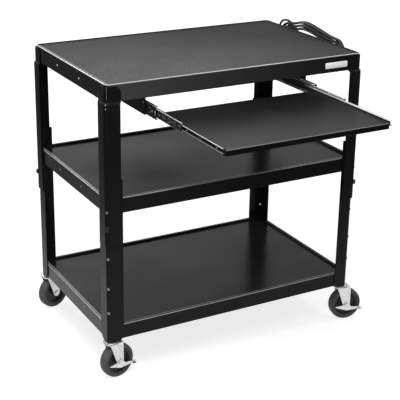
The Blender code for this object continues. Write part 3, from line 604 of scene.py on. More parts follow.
tyreRubber = rubberFinish("tyreRubber", grey(0.066, 0.001), grey(0.100, 0.002), 0.62)
hubPlastic = rubberFinish("hubPlastic", grey(0.016, 0.001), grey(0.027, 0.001), 0.48)
cordVinyl = rubberFinish("cordVinyl", grey(0.007), grey(0.013), 0.34, 0.2)
plugPlastic = rubberFinish("plugPlastic", grey(0.012), grey(0.022), 0.50)
socketPlastic = rubberFinish("socketPlastic", grey(0.055, 0.002), grey(0.075, 0.003), 0.46)


def plateFinish():
    # Bare enamelled plate, left blank: near white with a slow change of tone.
    finish, tree, shader = newFinish("barePlate", grey(0.84), 0.3, specular=0.4, coat=0.15)
    color = tint(tree, grain(tree, 70, 4), grey(0.94), grey(0.98))
    tree.links.new(color, shader.inputs["Base Color"])
    relief(tree, shader, (grain(tree, 500, 2), 0.00001))
    return finish


barePlate = plateFinish()
matRubber = matFinish()
blackLaminate = laminateFinish()
print("finishes made")


# The cord is wound on two hooks over the power strip.
cordShape = {
    "diameter": 0.007,
    "turns": 6,
    "pitch": 0.0102,  # between strands of one layer
    "layer": 0.0100,  # between the two layers
    "innerRadius": 0.021,
    "halfRun": 0.126,
    "centerY": 0.029,
    "drop": 0.038,  # of the winding's centre below the rim
    "rise": 0.018,  # of the upper strands between the hooks
    "riseCenter": 0.036,
    "firstLayer": 0.018,  # out from the shelf's side
    "pointsPerTurn": 72,
    "spacing": 0.004,  # between the points of the lead and of the tail
    "sides": 14,
    "leadLayer": 0.0085,
    "leadCrest": 0.018,
    "leadShares": (
        (0.0, 0.06, 0.62),
        (0.0, 0.28, 0.95),
        (0.1, 0.52, 1.0),
        (0.45, 0.80, 0.80),
        (0.9, 0.97, 0.42),
    ),
    "tailLength": 0.060,
    "tailDrift": 0.004,
}
stripShape = {
    "length": 0.190,
    "height": 0.032,
    "edge": 0.003,
    "reliefSetback": 0.024,
    "reliefHeight": 0.021,
    "gap": 0.0003,
}
apronX = middleX + halfWidth
windingLevel = rimLevel - cordShape["drop"]
windingY = middleY + cordShape["centerY"]


def smoothStep(value):
    # Zero to one with level ends: 3v^2 - 2v^3.
    value = np.clip(value, 0, 1)
    return value * value * (3 - 2 * value)


def windingRoute(shape):
    # By turns: down and forward along the lower run, round the front end, back along the
    # upper run and round the rear end. The radius shrinks by one pitch a turn to half
    # way, where the strand climbs a layer, and then grows again.
    turn = np.arange(shape["turns"] * shape["pointsPerTurn"] + 1) / shape["pointsPerTurn"]
    climbTurn = shape["turns"] // 2
    inward = np.clip(climbTurn - turn, 0, None)
    outward = np.clip(turn - climbTurn - 0.5, 0, None)
    radius = shape["innerRadius"] + shape["pitch"] * (inward + outward)
    share = turn % 1
    halfRun, center = shape["halfRun"], shape["riseCenter"]
    upperY = halfRun * (8 * (share - 0.625) - 1)
    reach = halfRun - np.copysign(center, upperY - center)
    lift = shape["rise"] * smoothStep(1 - np.abs(upperY - center) / reach)
    frontAngle = -math.pi / 2 - 4 * math.pi * (share - 0.375)
    rearAngle = np.where(share < 0.5, -4 * math.pi * share, 4 * math.pi * (1 - share))
    lower = (share >= 0.125) & (share < 0.375)
    front = (share >= 0.375) & (share < 0.625)
    upper = (share >= 0.625) & (share < 0.875)
    y = np.select(
        [lower, front, upper],
        [halfRun * (1 - 8 * (share - 0.125)), -halfRun + radius * np.cos(frontAngle), upperY],
        halfRun + radius * np.cos(rearAngle),
    )
    z = np.select(
        [lower, front, upper],
        [-radius, radius * np.sin(frontAngle), radius + lift],
        radius * np.sin(rearAngle),
    )
    x = apronX + shape["firstLayer"] + shape["layer"] * smoothStep((turn - climbTurn - 0.125) * 4)
    return np.stack([x, windingY + y, windingLevel + z], axis=1)


def stepsAlong(path):
    # The distance from each point of a path to the next.
    return np.linalg.norm(np.diff(path, axis=0), axis=1)


def curveThrough(points, spacing):
    # A Catmull-Rom curve through the points, read at about the given spacing.
    points = np.asarray(points, float)
    padded = np.concatenate([[2 * points[0] - points[1]], points, [2 * points[-1] - points[-2]]])
    before, first, second, after = padded[:-3], padded[1:-2], padded[2:-1], padded[3:]
    t = np.linspace(0, 1, 40, endpoint=False)[None, :, None]
    before, first, second, after = (part[:, None] for part in (before, first, second, after))
    fine = 0.5 * (
        2 * first
        + (second - before) * t
        + (2 * before - 5 * first + 4 * second - after) * t**2
        + (3 * first - before - 3 * second + after) * t**3
    )
    fine = np.concatenate([fine.reshape(-1, 3), points[-1:]])
    run = np.concatenate([[0], np.cumsum(stepsAlong(fine))])
    at = np.linspace(0, run[-1], max(int(run[-1] / spacing), 3))
    return np.stack([np.interp(at, run, fine[:, axis]) for axis in range(3)], axis=1)


up = np.array([0, 0, 1.0])
winding = windingRoute(cordShape)
stub = cordShape["diameter"] * up
reliefFoot = np.array(
    [
        apronX + cordShape["leadLayer"],
        windingY + stripShape["length"] / 2 - stripShape["reliefSetback"],
        windingLevel + stripShape["height"] / 2 + stripShape["gap"],
    ]
)
leadStart = reliefFoot + (stripShape["reliefHeight"] + stripShape["gap"]) * up
leadEnd = winding[0] + stub
crest = leadStart[2] + cordShape["leadCrest"]
leadPoints = [leadStart, leadStart + stub]
for across, along, height in cordShape["leadShares"]:
    spot = leadStart + (leadEnd - leadStart) * np.array([across, along, 0])
    spot[2] = leadEnd[2] + height * (crest - leadEnd[2])
    leadPoints.append(spot)
leadPoints += [leadEnd + stub, leadEnd]
tailStart = winding[-1] - stub
tailEnd = tailStart - np.array([0, cordShape["tailDrift"], cordShape["tailLength"]])
tailPoints = [tailStart, tailStart - stub, (tailStart + tailEnd) / 2, tailEnd + stub, tailEnd]
lead, tail = (curveThrough(points, cordShape["spacing"]) for points in (leadPoints, tailPoints))
cordPath = np.concatenate([lead, winding, tail])
cordPath = cordPath[np.concatenate([[True], stepsAlong(cordPath) > 0.0005])]
cordSection = roundSection(cordShape["diameter"] / 2, cordShape["sides"])
cord = makePiece(
    "woundCord", [rod(cordSection, cordPath)], cordVinyl, "upper_frame",
    ("cord_hank", "cord_lead", "cord_tail"), angle=60,
)


reliefShape = {
    "flange": (0.0073, 0.003),  # radius and height
    "radius": 0.0054,
    "taper": 0.0012,
    "bore": 0.0036,
    "ribs": 11,
    "ribDepth": 0.00045,
}


def ribbedRelief():
    # Sleeve round the cord, on a flange. Its radius falls evenly with height, with a
    # clipped sine on top of it for the ribs.
    wide, foot = reliefShape["flange"]
    tip = stripShape["reliefHeight"]
    height = np.linspace(foot, tip, 60)
    share = (height - foot) / (tip - foot)
    ribs = np.clip(np.sin(share * reliefShape["ribs"] * math.pi), -0.6, 0.6)
    radius = reliefShape["radius"] - reliefShape["taper"] * share + reliefShape["ribDepth"] * ribs
    profile = [(0.0, 0.0), (wide - 0.0005, 0.0), (wide, 0.0005), (wide, foot - 0.0006)]
    profile += [(wide - 0.0006, foot), *zip(radius, height), (reliefShape["bore"], tip), (0.0, tip)]
    return moved(lathe(profile, 40), Matrix.Translation(Vector(reliefFoot)))


sleeve = makePiece(
    "strainSleeve", [ribbedRelief()], plugPlastic, "upper_frame", ("strain_relief",)
)


plugShape = {
    "length": 0.048,
    "sleeve": 0.0047,
    "grip": 0.0085,  # more than the sleeve's radius
    "blade": (0.0063, 0.0015, 0.0168),
    "bladeSpread": 0.00635,
    "pinAside": 0.0075,
}


def mouldedPlug():
    # A sleeve widens by a smooth step into the grip. Clipped sines of the height give the
    # sleeve its cuffs and the grip its finger rings. Two flat blades and a round pin.
    low = -plugShape["length"]
    height = np.linspace(-0.0005, low, 90)
    down = -height
    sleeve = plugShape["sleeve"] + plugShape["grip"] * smoothStep((down - 0.010) / 0.012)
    rings = 0.0005 * np.clip(np.sin(down * 2100), -0.7, 0.7)
    rings = rings * smoothStep((down - 0.024) * 400) * smoothStep((0.042 - down) * 900)
    cuffs = 0.0004 * np.clip(np.sin(down * 3300), -0.6, 0.6) * smoothStep((0.0105 - down) * 900)
    radius = sleeve + rings + cuffs
    end = [(radius[-1] - 0.0012, low - 0.0001), (0.0, low)]
    profile = [(0.0, -0.0003), *zip(radius, height), *end]
    shapes = [moved(lathe(profile, 48), Matrix.Translation(Vector(tailEnd)))]
    width, thick, long = plugShape["blade"]
    for side in (-1, 1):
        blade = slab(eased(rectangle(width, thick), 0.0005), long, 0.0004)
        spot = tailEnd + np.array([0, side * plugShape["bladeSpread"], low])
        shapes.append(moved(blade, facing(spot, (0, 0, -1))))
    pin = [(0, 0), (0.0024, 0), (0.0024, 0.0135), (0.0017, 0.0160), (0.0007, long), (0, long)]
    spot = tailEnd + np.array([plugShape["pinAside"], 0, low])
    shapes.append(moved(lathe(pin, 24), facing(spot, (0, 0, -1))))
    return shapes


plugShapes = mouldedPlug()
plug = makePiece("mouldedPlug", plugShapes[:1], plugPlastic, "upper_frame", ("plug",))
blades = makePiece("plugBlades", plugShapes[1:], ballSteel, "upper_frame")


# Each shelf is one folded sheet.
shelfFold = {
    "sheet": 0.0015,
    "rimWidths": {"top": 0.005, "middle": 0.0105, "bottom": 0.0105},
    "rimHeight": 0.006,
    "flange": 0.011,
    "cornerCut": 0.009,
    "rimBend": 0.0023,
    "footBend": 0.0018,
    "deckMargin": 0.030,
    "dulled": (0.125, 0.130, 0.05),  # painted sheen share on the top's front apron, as far as, fading over
    "leftDulled": 0.015,  # painted sheen share on the lower shelves' left aprons
    "lines": (0.0014, 0.0078),  # the lower rims' painted highlight lines lie outside these distances
    "lineStep": 0.0012,
    "between": (0.35, -1.0),  # painted highlight share between the lines, at the left and the front, where below zero it makes a painted shade line
    "innerLine": 0.9,
    "aprons": {"top": 0.048, "middle": 0.0445, "bottom": 0.0445},
}


def planRows(insets, ease=0.35):
    # The shelf's plan with cut corners, drawn in by each inset, with its corners eased.
    insets = np.asarray(insets, float)
    across, along = halfWidth - insets, halfDepth - insets
    cut = np.maximum(shelfFold["cornerCut"] - insets * (2 - math.sqrt(2)), 0.0012)
    corners = np.stack(
        [
            np.stack([across, along - cut], -1), np.stack([across - cut, along], -1),
            np.stack([cut - across, along], -1), np.stack([-across, along - cut], -1),
            np.stack([-across, cut - along], -1), np.stack([cut - across, -along], -1),
            np.stack([across - cut, -along], -1), np.stack([across, cut - along], -1),
        ],
        axis=1,
    )
    return eased(corners, (ease * cut)[:, None])


def foldedPan(section, level):
    # The plan's outline carried down a section of (inset, height) points, with flat caps
    # over the deck and under it.
    section = np.asarray(section, float)
    plan = planRows(section[:, 0])
    height = np.repeat((level + section[:, 1])[:, None], plan.shape[1], axis=1)
    grid = np.dstack([plan[..., 0] + middleX, plan[..., 1] + middleY, height])
    return skin(grid)


def shelfSection(level):
    # The sheet's section as (inset, height): from the deck over the rolled rim, down the
    # apron, round its foot and back up the inside.
    fold = shelfFold
    apron, rim = fold["aprons"][level], fold["rimWidths"][level]
    sheet, deck = fold["sheet"], -fold["rimHeight"]
    corners = [
        (fold["deckMargin"], deck), (rim, deck), (rim, 0), (0, 0), (0, -apron),
        (fold["flange"], -apron), (fold["flange"], -apron + sheet), (sheet, -apron + sheet),
        (sheet, deck - sheet), (fold["deckMargin"], deck - sheet),
    ]
    bend, foot = fold["rimBend"], fold["footBend"]
    reach = [0, 0.0012, bend, bend, foot, 0.0004, 0.0004, 0.0008, 0.0010, 0]
    if level != "top":
        corners.insert(3, (fold["lines"][1] - fold["lineStep"], 0))
        reach.insert(3, 0)
    return eased(corners, reach, 5, closed=False)


def rimPaintedLight(level, rim):
    # Painted highlights along the rims at the front and on the left, with painted shade between the
    # lower rims' lines and painted sheen on some aprons.
    fold = shelfFold
    width = fold["rimWidths"][level] + 0.0002

    def share(spots):
        rolled = np.clip((spots[:, 2] - rim + fold["rimBend"] * 1.02) / 0.0003, 0, 1)
        fromFront, fromLeft = spots[:, 1] - middleY + halfDepth, spots[:, 0] - middleX + halfWidth
        inward = np.minimum(fromFront, fromLeft)
        if level == "top":
            # Painted sheen lightens the front apron over the tray and to the left of it
            most, end, fade = fold["dulled"]
            dulled, faced = most * smoothStep((end - spots[:, 0]) / fade), fromFront
            bright = 1.0
        else:
            outer, inner = fold["lines"]
            between = np.where(fromLeft < fromFront, *fold["between"])
            within = np.where(inward > inner, fold["innerLine"], between)
            bright = np.where(inward < outer, 1.0, within)
            dulled, faced = fold["leftDulled"], fromLeft
        polish = rolled * np.where(inward < width, bright, 0.0)
        return np.where((rolled < 0.5) & (faced < 0.0008), dulled, polish)

    return share


for level, body in (("top", "upper_frame"), ("middle", "upper_frame"), ("bottom", "lower_frame")):
    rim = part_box(f"{level}_shelf")[1].z
    makePiece(
        f"{level}Pan", [foldedPan(shelfSection(level), rim)], smoothPaint, body,
        (f"{level}_shelf",), angle=40, paintedLightShares=rimPaintedLight(level, rim),
    )

matShape = {
    "margin": 0.0086,
    "thickness": 0.003,
    "flatFrom": 0.02,
    "bead": 0.0046,  # width of the raised bead along the mat's edge
    "beadHeight": 0.0009,
    "groove": 0.0022,
    "grooveDepth": 0.0008,
    "worn": (1.0, 0.12),  # painted highlight shares on the bead, on the left and elsewhere
}
matLow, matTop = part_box("top_mat")[0].z, matShape["thickness"]
beadEnd = matShape["margin"] + matShape["bead"]
grooveEnd = beadEnd + matShape["groove"]
beadTop, grooveFoot = matTop + matShape["beadHeight"], matTop - matShape["grooveDepth"]
matSection = [
    (matShape["flatFrom"], 0), (matShape["margin"], 0), (matShape["margin"], beadTop),
    (beadEnd, beadTop), (beadEnd + 0.0003, grooveFoot), (grooveEnd, grooveFoot),
    (grooveEnd + 0.0004, matTop), (matShape["flatFrom"], matTop),
]
matBends = [0, 0.0004, 0.0016, 0.0012, 0.0003, 0.0003, 0.0003, 0]
matSection = eased(matSection, matBends, 5, closed=False)


def beadHighlights(spots):
    # A painted highlight on the bead, strong along the left side and faint elsewhere.
    raised = np.clip((spots[:, 2] - matLow - matTop - 0.0002) / 0.0003, 0, 1)
    return raised * np.where(spots[:, 0] < middleX - halfWidth + beadEnd + 0.001, *matShape["worn"])


makePiece(
    "pebbledMat", [foldedPan(matSection, matLow)], matRubber, "upper_frame", ("top_mat",),
    angle=50, paintedLightShares=beadHighlights,
)
print("shelves folded")


cornerSigns = {
    "front_left": (-1, -1),
    "front_right": (1, -1),
    "rear_left": (-1, 1),
    "rear_right": (1, 1),
}
boltShape = {
    "drop": 0.400,
    "standOff": 0.0062,  # outer face of an upper leg, out from the shelf's faces
    "chamfer": 0.009,
    "washer": (0.0080, 0.0015),  # radius and height
    "acrossFlats": 0.0125,
    "headHeight": 0.0045,
    "cornerScrewDrop": 0.3526,
    "cornerScrew": (0.0034, 0.0018),
    "seam": (0.0072, 0.0420, 0.0010),  # the bright bead of painted highlight: from and to below the rim, and radius
    "pins": (0.0535, 0.0640),
    "pin": (0.0014, 0.0008),
    "easing": 0.0006,  # of the legs' edges
    "gap": 0.0003,
}


def legFace(signs, standOff, drop):
    # Middle of the flat across a leg's corner, and the way it faces.
    side, end = signs
    reach = standOff - boltShape["chamfer"] / 2
    x, y = middleX + side * (halfWidth + reach), middleY + end * (halfDepth + reach)
    return (x, y, rimLevel - drop), (side, end, 0)


for corner, signs in cornerSigns.items():
    for half in ("upper", "lower"):
        node = f"{half}_leg_{corner}"
        softened(f"{half}Leg_{corner}", node, boltShape["easing"], texturedPaint)
    place, outward = legFace(signs, boltShape["standOff"] + boltShape["gap"], boltShape["drop"])
    wide, high = boltShape["washer"]
    washer = [(0, 0), (wide - 0.0003, 0), (wide, 0.0003), (wide, 0.0011), (wide - 0.0006, high)]
    washer = lathe([*washer, (0, high)], 48)
    head = hexHead(boltShape["acrossFlats"], boltShape["headHeight"])
    head = moved(head, Matrix.Translation((0, 0, high)))
    at = facing(place, outward, 0.35)
    makePiece(
        f"adjustBolt_{corner}", [moved(washer, at), moved(head, at)], blackSteel, "upper_frame",
        (f"adjust_bolt_{corner}",), angle=28,
    )
    place, outward = legFace(signs, boltShape["standOff"], boltShape["cornerScrewDrop"])
    small = moved(screwHead(*boltShape["cornerScrew"]), facing(place, outward, 0.6))
    makePiece(f"cornerScrew_{corner}", [small], dullZinc, "upper_frame", angle=50)

    # A bright bead, a painted highlight on the top shelf's rounded corner, shows in the slit
    # between the leg's two tabs.
    upperEnd, lowerEnd, highlightRadius = boltShape["seam"]
    ends = [legFace(signs, 0.0002, drop)[0] for drop in np.linspace(upperEnd, lowerEnd, 8)]
    seam = rod(roundSection(highlightRadius, 12), ends, (signs[0], -signs[1], 0))
    pins = []
    for drop in boltShape["pins"]:
        place, outward = legFace(signs, boltShape["standOff"], drop)
        pins.append(moved(screwHead(*boltShape["pin"], 0.0, 16), facing(place, outward)))
    makePiece(f"cornerHighlight_{corner}", [seam] + pins, brightZinc, "upper_frame", angle=50)

# Threaded inserts in the lower legs' holes, set in flush
insertShape = {
    "shares": (0.7044, 0.8325, 0.9384),  # of the way from the top rim down to the bottom one
    "radii": (0.0014, 0.0041),
    "height": 0.0005,
    "depth": 0.002,
    "inFrom": 0.0032,  # a lower leg's face, in from the upper leg's
}
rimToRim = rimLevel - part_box("bottom_shelf")[1].z
for corner, signs in cornerSigns.items():
    inner, outer = insertShape["radii"]
    high = insertShape["height"]
    ring = [(inner, -insertShape["depth"]), (inner, high), (outer - high, high)]
    ring += [(outer, 0.0001), (outer, -0.0001)]
    rings = []
    for share in insertShape["shares"]:
        place, outward = legFace(signs, boltShape["standOff"], share * rimToRim)
        place = Vector(place) - insertShape["inFrom"] * Vector(outward).normalized()
        rings.append(moved(ringLathe(ring, 32), facing(place, outward)))
    makePiece(f"legInserts_{corner}", rings, dullZinc, "lower_frame", angle=40)

apronScrews = {
    "spread": 0.078,
    "drops": {"top": 0.024, "middle": 0.020, "bottom": 0.015},
    "radius": 0.0030,
    "height": 0.0015,
}
for level, body, sides, finish, slotName in (
    ("top", "upper_frame", (-1,), brightZinc, "zinc"),  # the cord's hooks hide the right side
    ("middle", "upper_frame", (-1, 1), dullZinc, "black_steel"),
    ("bottom", "lower_frame", (-1, 1), dullZinc, "black_steel"),
):
    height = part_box(f"{level}_shelf")[1].z - apronScrews["drops"][level]
    heads = []
    for side in sides:
        for end in (-1, 1):
            spot = (middleX + side * halfWidth, middleY + end * apronScrews["spread"], height)
            head = screwHead(apronScrews["radius"], apronScrews["height"])
            heads.append(moved(head, facing(spot, (side, 0, 0), 0.5 + end)))
    makePiece(f"{level}ApronScrews", heads, finish, body, angle=50)
print("legs and fasteners made")


# The name plate stays bare.
plateShape = {"corner": 0.0042, "edge": 0.0003}
plateLow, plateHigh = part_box("name_plate")
plateSize, plateCenter = plateHigh - plateLow, (plateLow + plateHigh) / 2
blank = eased(rectangle(plateSize.x, plateSize.z), plateShape["corner"], 7)
blank = slab(blank, plateSize.y, plateShape["edge"])
blank = moved(blank, facing((plateCenter.x, plateHigh.y, plateCenter.z), (0, -1, 0)))
makePiece("barePlate", [blank], barePlate, "upper_frame", ("name_plate",))


trayShape = {
    "corner": 0.006,
    "edge": 0.0016,
    "seam": (0.0009, 0.0003, 0.00022),  # below the top, width and depth
    "flatFrom": 0.02,
    # share of the painted highlight on the upper edges at the front and right
    "rubbed": 0.6,
}
trayLow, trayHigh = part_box("keyboard_tray")


def trayBoard():
    # A board whose section has rounded rims and a fine seam where the edge band meets
    # the laminate, carried round an outline with rounded corners.
    thick = trayHigh.z - trayLow.z
    inset, edge = trayShape["flatFrom"], trayShape["edge"]
    rim = [(inset, 0), (0, 0), (0, thick), (inset, thick)]
    rim = eased(rim, [0, edge, edge, 0], 6, closed=False)
    drop, width, depth = trayShape["seam"]
    pinch = depth * np.exp(-(((rim[:, 1] - thick + drop) / width) ** 2))
    rim = np.stack([rim[:, 0] + pinch, rim[:, 1]], axis=1)
    width, depth = trayHigh.x - trayLow.x, trayHigh.y - trayLow.y
    rows = np.stack([rectangle(width - 2 * step, depth - 2 * step) for step in rim[:, 0]])
    rows = eased(rows, np.full((len(rows), 4), trayShape["corner"]), 8)
    height = np.repeat((trayLow.z + rim[:, 1])[:, None], rows.shape[1], axis=1)
    center = (trayLow + trayHigh) / 2
    return skin(np.dstack([rows[..., 0] + center.x, rows[..., 1] + center.y, height]))


def trayEdgeHighlights(spots):
    # Painted highlights on the upper edges at the front and on the right.
    near = np.clip((spots[:, 2] - trayHigh.z + trayShape["edge"]) / 0.0004, 0, 1)
    reach = trayShape["edge"] * 1.1
    front, right = spots[:, 1] < trayLow.y + reach, spots[:, 0] > trayHigh.x - reach
    return near * np.where(front | right, trayShape["rubbed"], 0.0)


makePiece(
    "trayBoard", [trayBoard()], blackLaminate, "tray", ("keyboard_tray",), angle=50,
    paintedLightShares=trayEdgeHighlights,
)

slideShape = {
    "sheet": 0.0012,
    "bend": 0.0011,
    "level": rimLevel - 0.0965,
    "ball": 0.0024,
    "ballPitch": 0.0085,
    "emboss": {"outer": 0.0002, "middle": 0.0003, "inner": 0.0008},  # the members nest closely
    "embossShare": 0.58,  # of the web's half height
    # width of the painted highlight band along a slide's edges
    "worn": 0.0018,
    "wornAcross": {"left": 2.0, "right": 8.0},  # painted highlight band widths in from the outward face
    # painted highlight shares on the upper and the lower edge
    "rubbed": {"outer": (0.9, 0.8), "middle": (1.0, 1.0), "inner": (1.0, 0.45)},
    "bracketSheet": 0.002,
    "bracketEasing": 0.0005,
    "screw": (0.0030, 0.0016),
    "screwBehind": 0.010,  # the bracket's screw, from its front edge
    "screwDrop": 0.083,
}
slideOwners = {"outer": "upper_frame", "middle": "middle_members", "inner": "tray"}


def channelRod(node, side, openTo, emboss):
    # The section of a rolled channel, its lips towards openTo, with rounded bends, carried
    # along Y over the node's length.
    low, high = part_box(node)
    web, lip = (high.x, low.x) if side * openTo < 0 else (low.x, high.x)
    wall = math.copysign(slideShape["sheet"], lip - web)
    bottom, top, thin = low.z, high.z, slideShape["sheet"]
    # The web is pressed in between its edges
    press = math.copysign(emboss, wall)
    middle, tall = (bottom + top) / 2, (top - bottom) / 2
    share, slope = slideShape["embossShare"], 0.001
    upper, lower = middle + share * tall, middle - share * tall
    nearLip = lip - math.copysign(2 * slideShape["worn"], wall)
    inside = web + wall
    corners = [
        (web, bottom), (web, lower), (web + press, lower + slope), (web + press, upper - slope),
        (web, upper), (web, top), (nearLip, top), (lip, top), (lip, top - thin),
        (inside, top - thin), (inside, upper), (inside + press, upper - slope),
        (inside + press, lower + slope), (inside, lower), (inside, bottom + thin),
        (lip, bottom + thin), (lip, bottom), (nearLip, bottom),
    ]
    bend, soft, edge, flat = slideShape["bend"], 0.0005, 0.0004, 0.0001
    outer, embossed = bend * 1.6, [soft] * 4
    reach = [outer, *embossed, outer, flat, edge, edge, bend, *embossed, bend, edge, edge, flat]
    section = eased(corners, reach, 4)
    grid = np.stack([np.insert(section, 1, y, axis=1) for y in (low.y, high.y)])
    return skin(grid)


def slideEdgeHighlights(member, label):
    # Shares of painted highlight within the band along a member's two outward edges.
    low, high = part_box(f"slide_{member}_{label}")
    tall = (high.z - low.z) / 2
    outside = low.x if label == "left" else high.x
    worn, wide = slideShape["worn"], slideShape["wornAcross"][label]

    def share(spots):
        height = spots[:, 2] - slideShape["level"]
        near = np.clip((np.abs(height) - tall + worn) / 0.0006, 0, 1)
        near *= np.clip(wide - np.abs(spots[:, 0] - outside) / worn, 0, 1)
        return near * np.where(height > 0, *slideShape["rubbed"][member])

    return share


for label, side in (("left", -1), ("right", 1)):
    for member, body in slideOwners.items():
        node = f"slide_{member}_{label}"
        openTo = 1 if member == "inner" else -1
        channel = channelRod(node, side, openTo, slideShape["emboss"][member])
        makePiece(
            f"{member}Slide_{label}", [channel], slideSteel, body, (node,), angle=30,
            paintedLightShares=slideEdgeHighlights(member, label),
        )
    node = f"slide_bracket_{label}"
    easing = slideShape["bracketEasing"]
    softened(f"slideBracket_{label}", node, easing, texturedPaint)
    low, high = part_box(node)
    web = (high.x if side < 0 else low.x) + side * slideShape["bracketSheet"]
    spot = (web, low.y + slideShape["screwBehind"], rimLevel - slideShape["screwDrop"])
    head = moved(screwHead(*slideShape["screw"]), facing(spot, (side, 0, 0), 0.3))
    makePiece(f"bracketScrew_{label}", [head], dullZinc, "upper_frame", angle=50)


# Rows of balls in their cages between the members, near the members' front ends
cageShape = {"balls": 9, "width": 0.0014, "thickness": 0.0008, "setBack": 0.008}
for label in ("left", "right"):
    for inside, outside in (("middle", "outer"), ("inner", "middle")):
        insideLow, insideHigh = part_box(f"slide_{inside}_{label}")
        outsideLow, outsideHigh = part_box(f"slide_{outside}_{label}")
        left, right = max(insideLow.x, outsideLow.x), min(insideHigh.x, outsideHigh.x)
        low, high = insideHigh.z, outsideHigh.z - slideShape["sheet"]
        x, middle = (left + right) / 2, (low + high) / 2
        radius = min((high - low) / 2 - 0.0001, (right - left) / 2 + 0.0006, slideShape["ball"])
        start = outsideLow.y + cageShape["setBack"]
        pitch, number = slideShape["ballPitch"], cageShape["balls"]
        strip = eased(rectangle(cageShape["width"], number * pitch), 0.0006, 3)
        strip = slab(strip, cageShape["thickness"], 0.0002)
        balls, cages = [], []
        for z in (middle, 2 * slideShape["level"] - middle):
            places = [(x, start + place * pitch, z) for place in range(number)]
            balls += [moved(ball(radius), Matrix.Translation(place)) for place in places]
            center = (x, start + (number - 1) / 2 * pitch, z - cageShape["thickness"] / 2)
            cages.append(moved(strip, Matrix.Translation(center)))
        body = slideOwners[inside]
        makePiece(f"{inside}Balls_{label}", balls, ballSteel, body, angle=80)
        makePiece(f"{inside}Cages_{label}", cages, brightZinc, body)

# Slot shades, stops and rivets in the webs: each slot is a thin black slab of painted shade on a
# bright frame of painted highlight
slotShape = {
    # by member: places along the cart, lengths and widths
    "cuts": {
        "outer": ((-0.213, 0.0080, 0.0120),),
        "middle": (
            (-0.322, 0.0080, 0.0085), (-0.353, 0.0080, 0.0085), (-0.292, 0.0160, 0.0040),
            (-0.380, 0.0050, 0.0070),
        ),
        "inner": ((-0.475, 0.0160, 0.0045),),
    },
    # by member: places, and heights off the slide's middle
    "rivets": {
        "outer": ((-0.228, 0.0),),
        "middle": ((-0.338, 0.0), (-0.268, 0.0)),
        "inner": ((-0.407, -0.0030), (-0.560, -0.0030)),
    },
    "frame": 0.0024,  # painted highlight round a cut
    "rivetRadius": 0.0024,
    "rivetHeights": {"outer": 0.0012, "middle": 0.0003, "inner": 0.0012},
    # The bright stop on the outer member: its place, width and height
    "latch": (-0.2465, 0.0040, 0.0150),
    "latchThickness": 0.0011,
}


def onWeb(shape, face, side, along, rise=0.0):
    return moved(shape, facing((face, middleY + along, slideShape["level"] + rise), (side, 0, 0)))


for label, side in (("left", -1), ("right", 1)):
    for member, body in slideOwners.items():
        low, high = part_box(f"slide_{member}_{label}")
        near, far = (low.x, high.x) if side > 0 else (high.x, low.x)
        press = slideShape["emboss"][member]
        # The outer and middle webs lie outward, the inner web against the tray.
        inward = near + side * (slideShape["sheet"] + press)
        face = inward if member == "inner" else far - side * press
        dark, bright = [], []
        for along, length, width in slotShape["cuts"][member]:
            frame = rectangle(length + slotShape["frame"], width + slotShape["frame"])
            cut = slab(eased(rectangle(length, width), 0.0018, 5), 0.0003, 0.00005)
            dark.append(onWeb(cut, face, side, along))
            bright.append(onWeb(slab(eased(frame, 0.0022, 5), 0.00015, 0.00005), face, side, along))
        for along, rise in slotShape["rivets"][member]:
            rivet = screwHead(slotShape["rivetRadius"], slotShape["rivetHeights"][member], 0.0)
            bright.append(onWeb(rivet, face, side, along, rise))
        if member == "outer":
            along, width, height = slotShape["latch"]
            stop = eased(rectangle(width, height), 0.0012, 5)
            stop = slab(stop, slotShape["latchThickness"], 0.0003)
            bright.append(onWeb(stop, face, side, along))
        makePiece(f"{member}Slots_{label}", dark, slotShadow, body)
        makePiece(f"{member}Rivets_{label}", bright, brightZinc, body, angle=50)
print("tray and slides made")


stripLow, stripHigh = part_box("power_strip")


def roundedBox(low, high, radius, steps=10):
    # Points of a sphere, each pushed out along the axes' signs to the box's inner corners.
    polar = np.linspace(-math.pi / 2, math.pi / 2, 2 * steps)
    around = (np.arange(4 * steps) + 0.5) / (4 * steps) * 2 * math.pi
    polar, around = np.meshgrid(polar, around, indexing="ij")
    x, y = np.cos(polar) * np.cos(around), np.cos(polar) * np.sin(around)
    unit = np.stack([x, y, np.sin(polar)], axis=-1)
    center = (np.asarray(low) + np.asarray(high)) / 2
    inner = (np.asarray(high) - np.asarray(low)) / 2 - radius
    signs = np.where(np.stack([np.cos(around), np.sin(around), polar], axis=-1) >= 0, 1, -1)
    return skin(center + signs * inner + radius * unit)


strip = roundedBox(stripLow, stripHigh, stripShape["edge"])
makePiece(
    "stripBody", [strip], texturedPaint, "upper_frame", ("power_strip",), angle=40
)

socketShape = {
    "pitch": 0.050,
    "cover": 0.0019,
    "corner": 0.003,
    "rim": 0.0112,
    "slot": (0.0068, 0.0016),  # height and width
    "slotSpread": 0.0127,
    "slotRise": 0.002,
    "earth": 0.0044,
    "earthDrop": 0.006,
}
socketLow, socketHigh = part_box("socket_row")
socketCenter = (socketLow + socketHigh) / 2


def onSocketRow(shape, x, along=0.0, rise=0.0):
    return moved(shape, facing((x, socketCenter.y + along, socketCenter.z + rise), (1, 0, 0)))


bar = rectangle(socketHigh.y - socketLow.y, socketHigh.z - socketLow.z)
bar = slab(eased(bar, socketShape["corner"], 6), socketShape["cover"], 0.0004)
lip = socketShape["rim"]
rim = [(lip - 0.0008, 0), (lip, 0), (lip, 0.0001), (lip - 0.0004, 0.00025), (lip - 0.0008, 0.0001)]
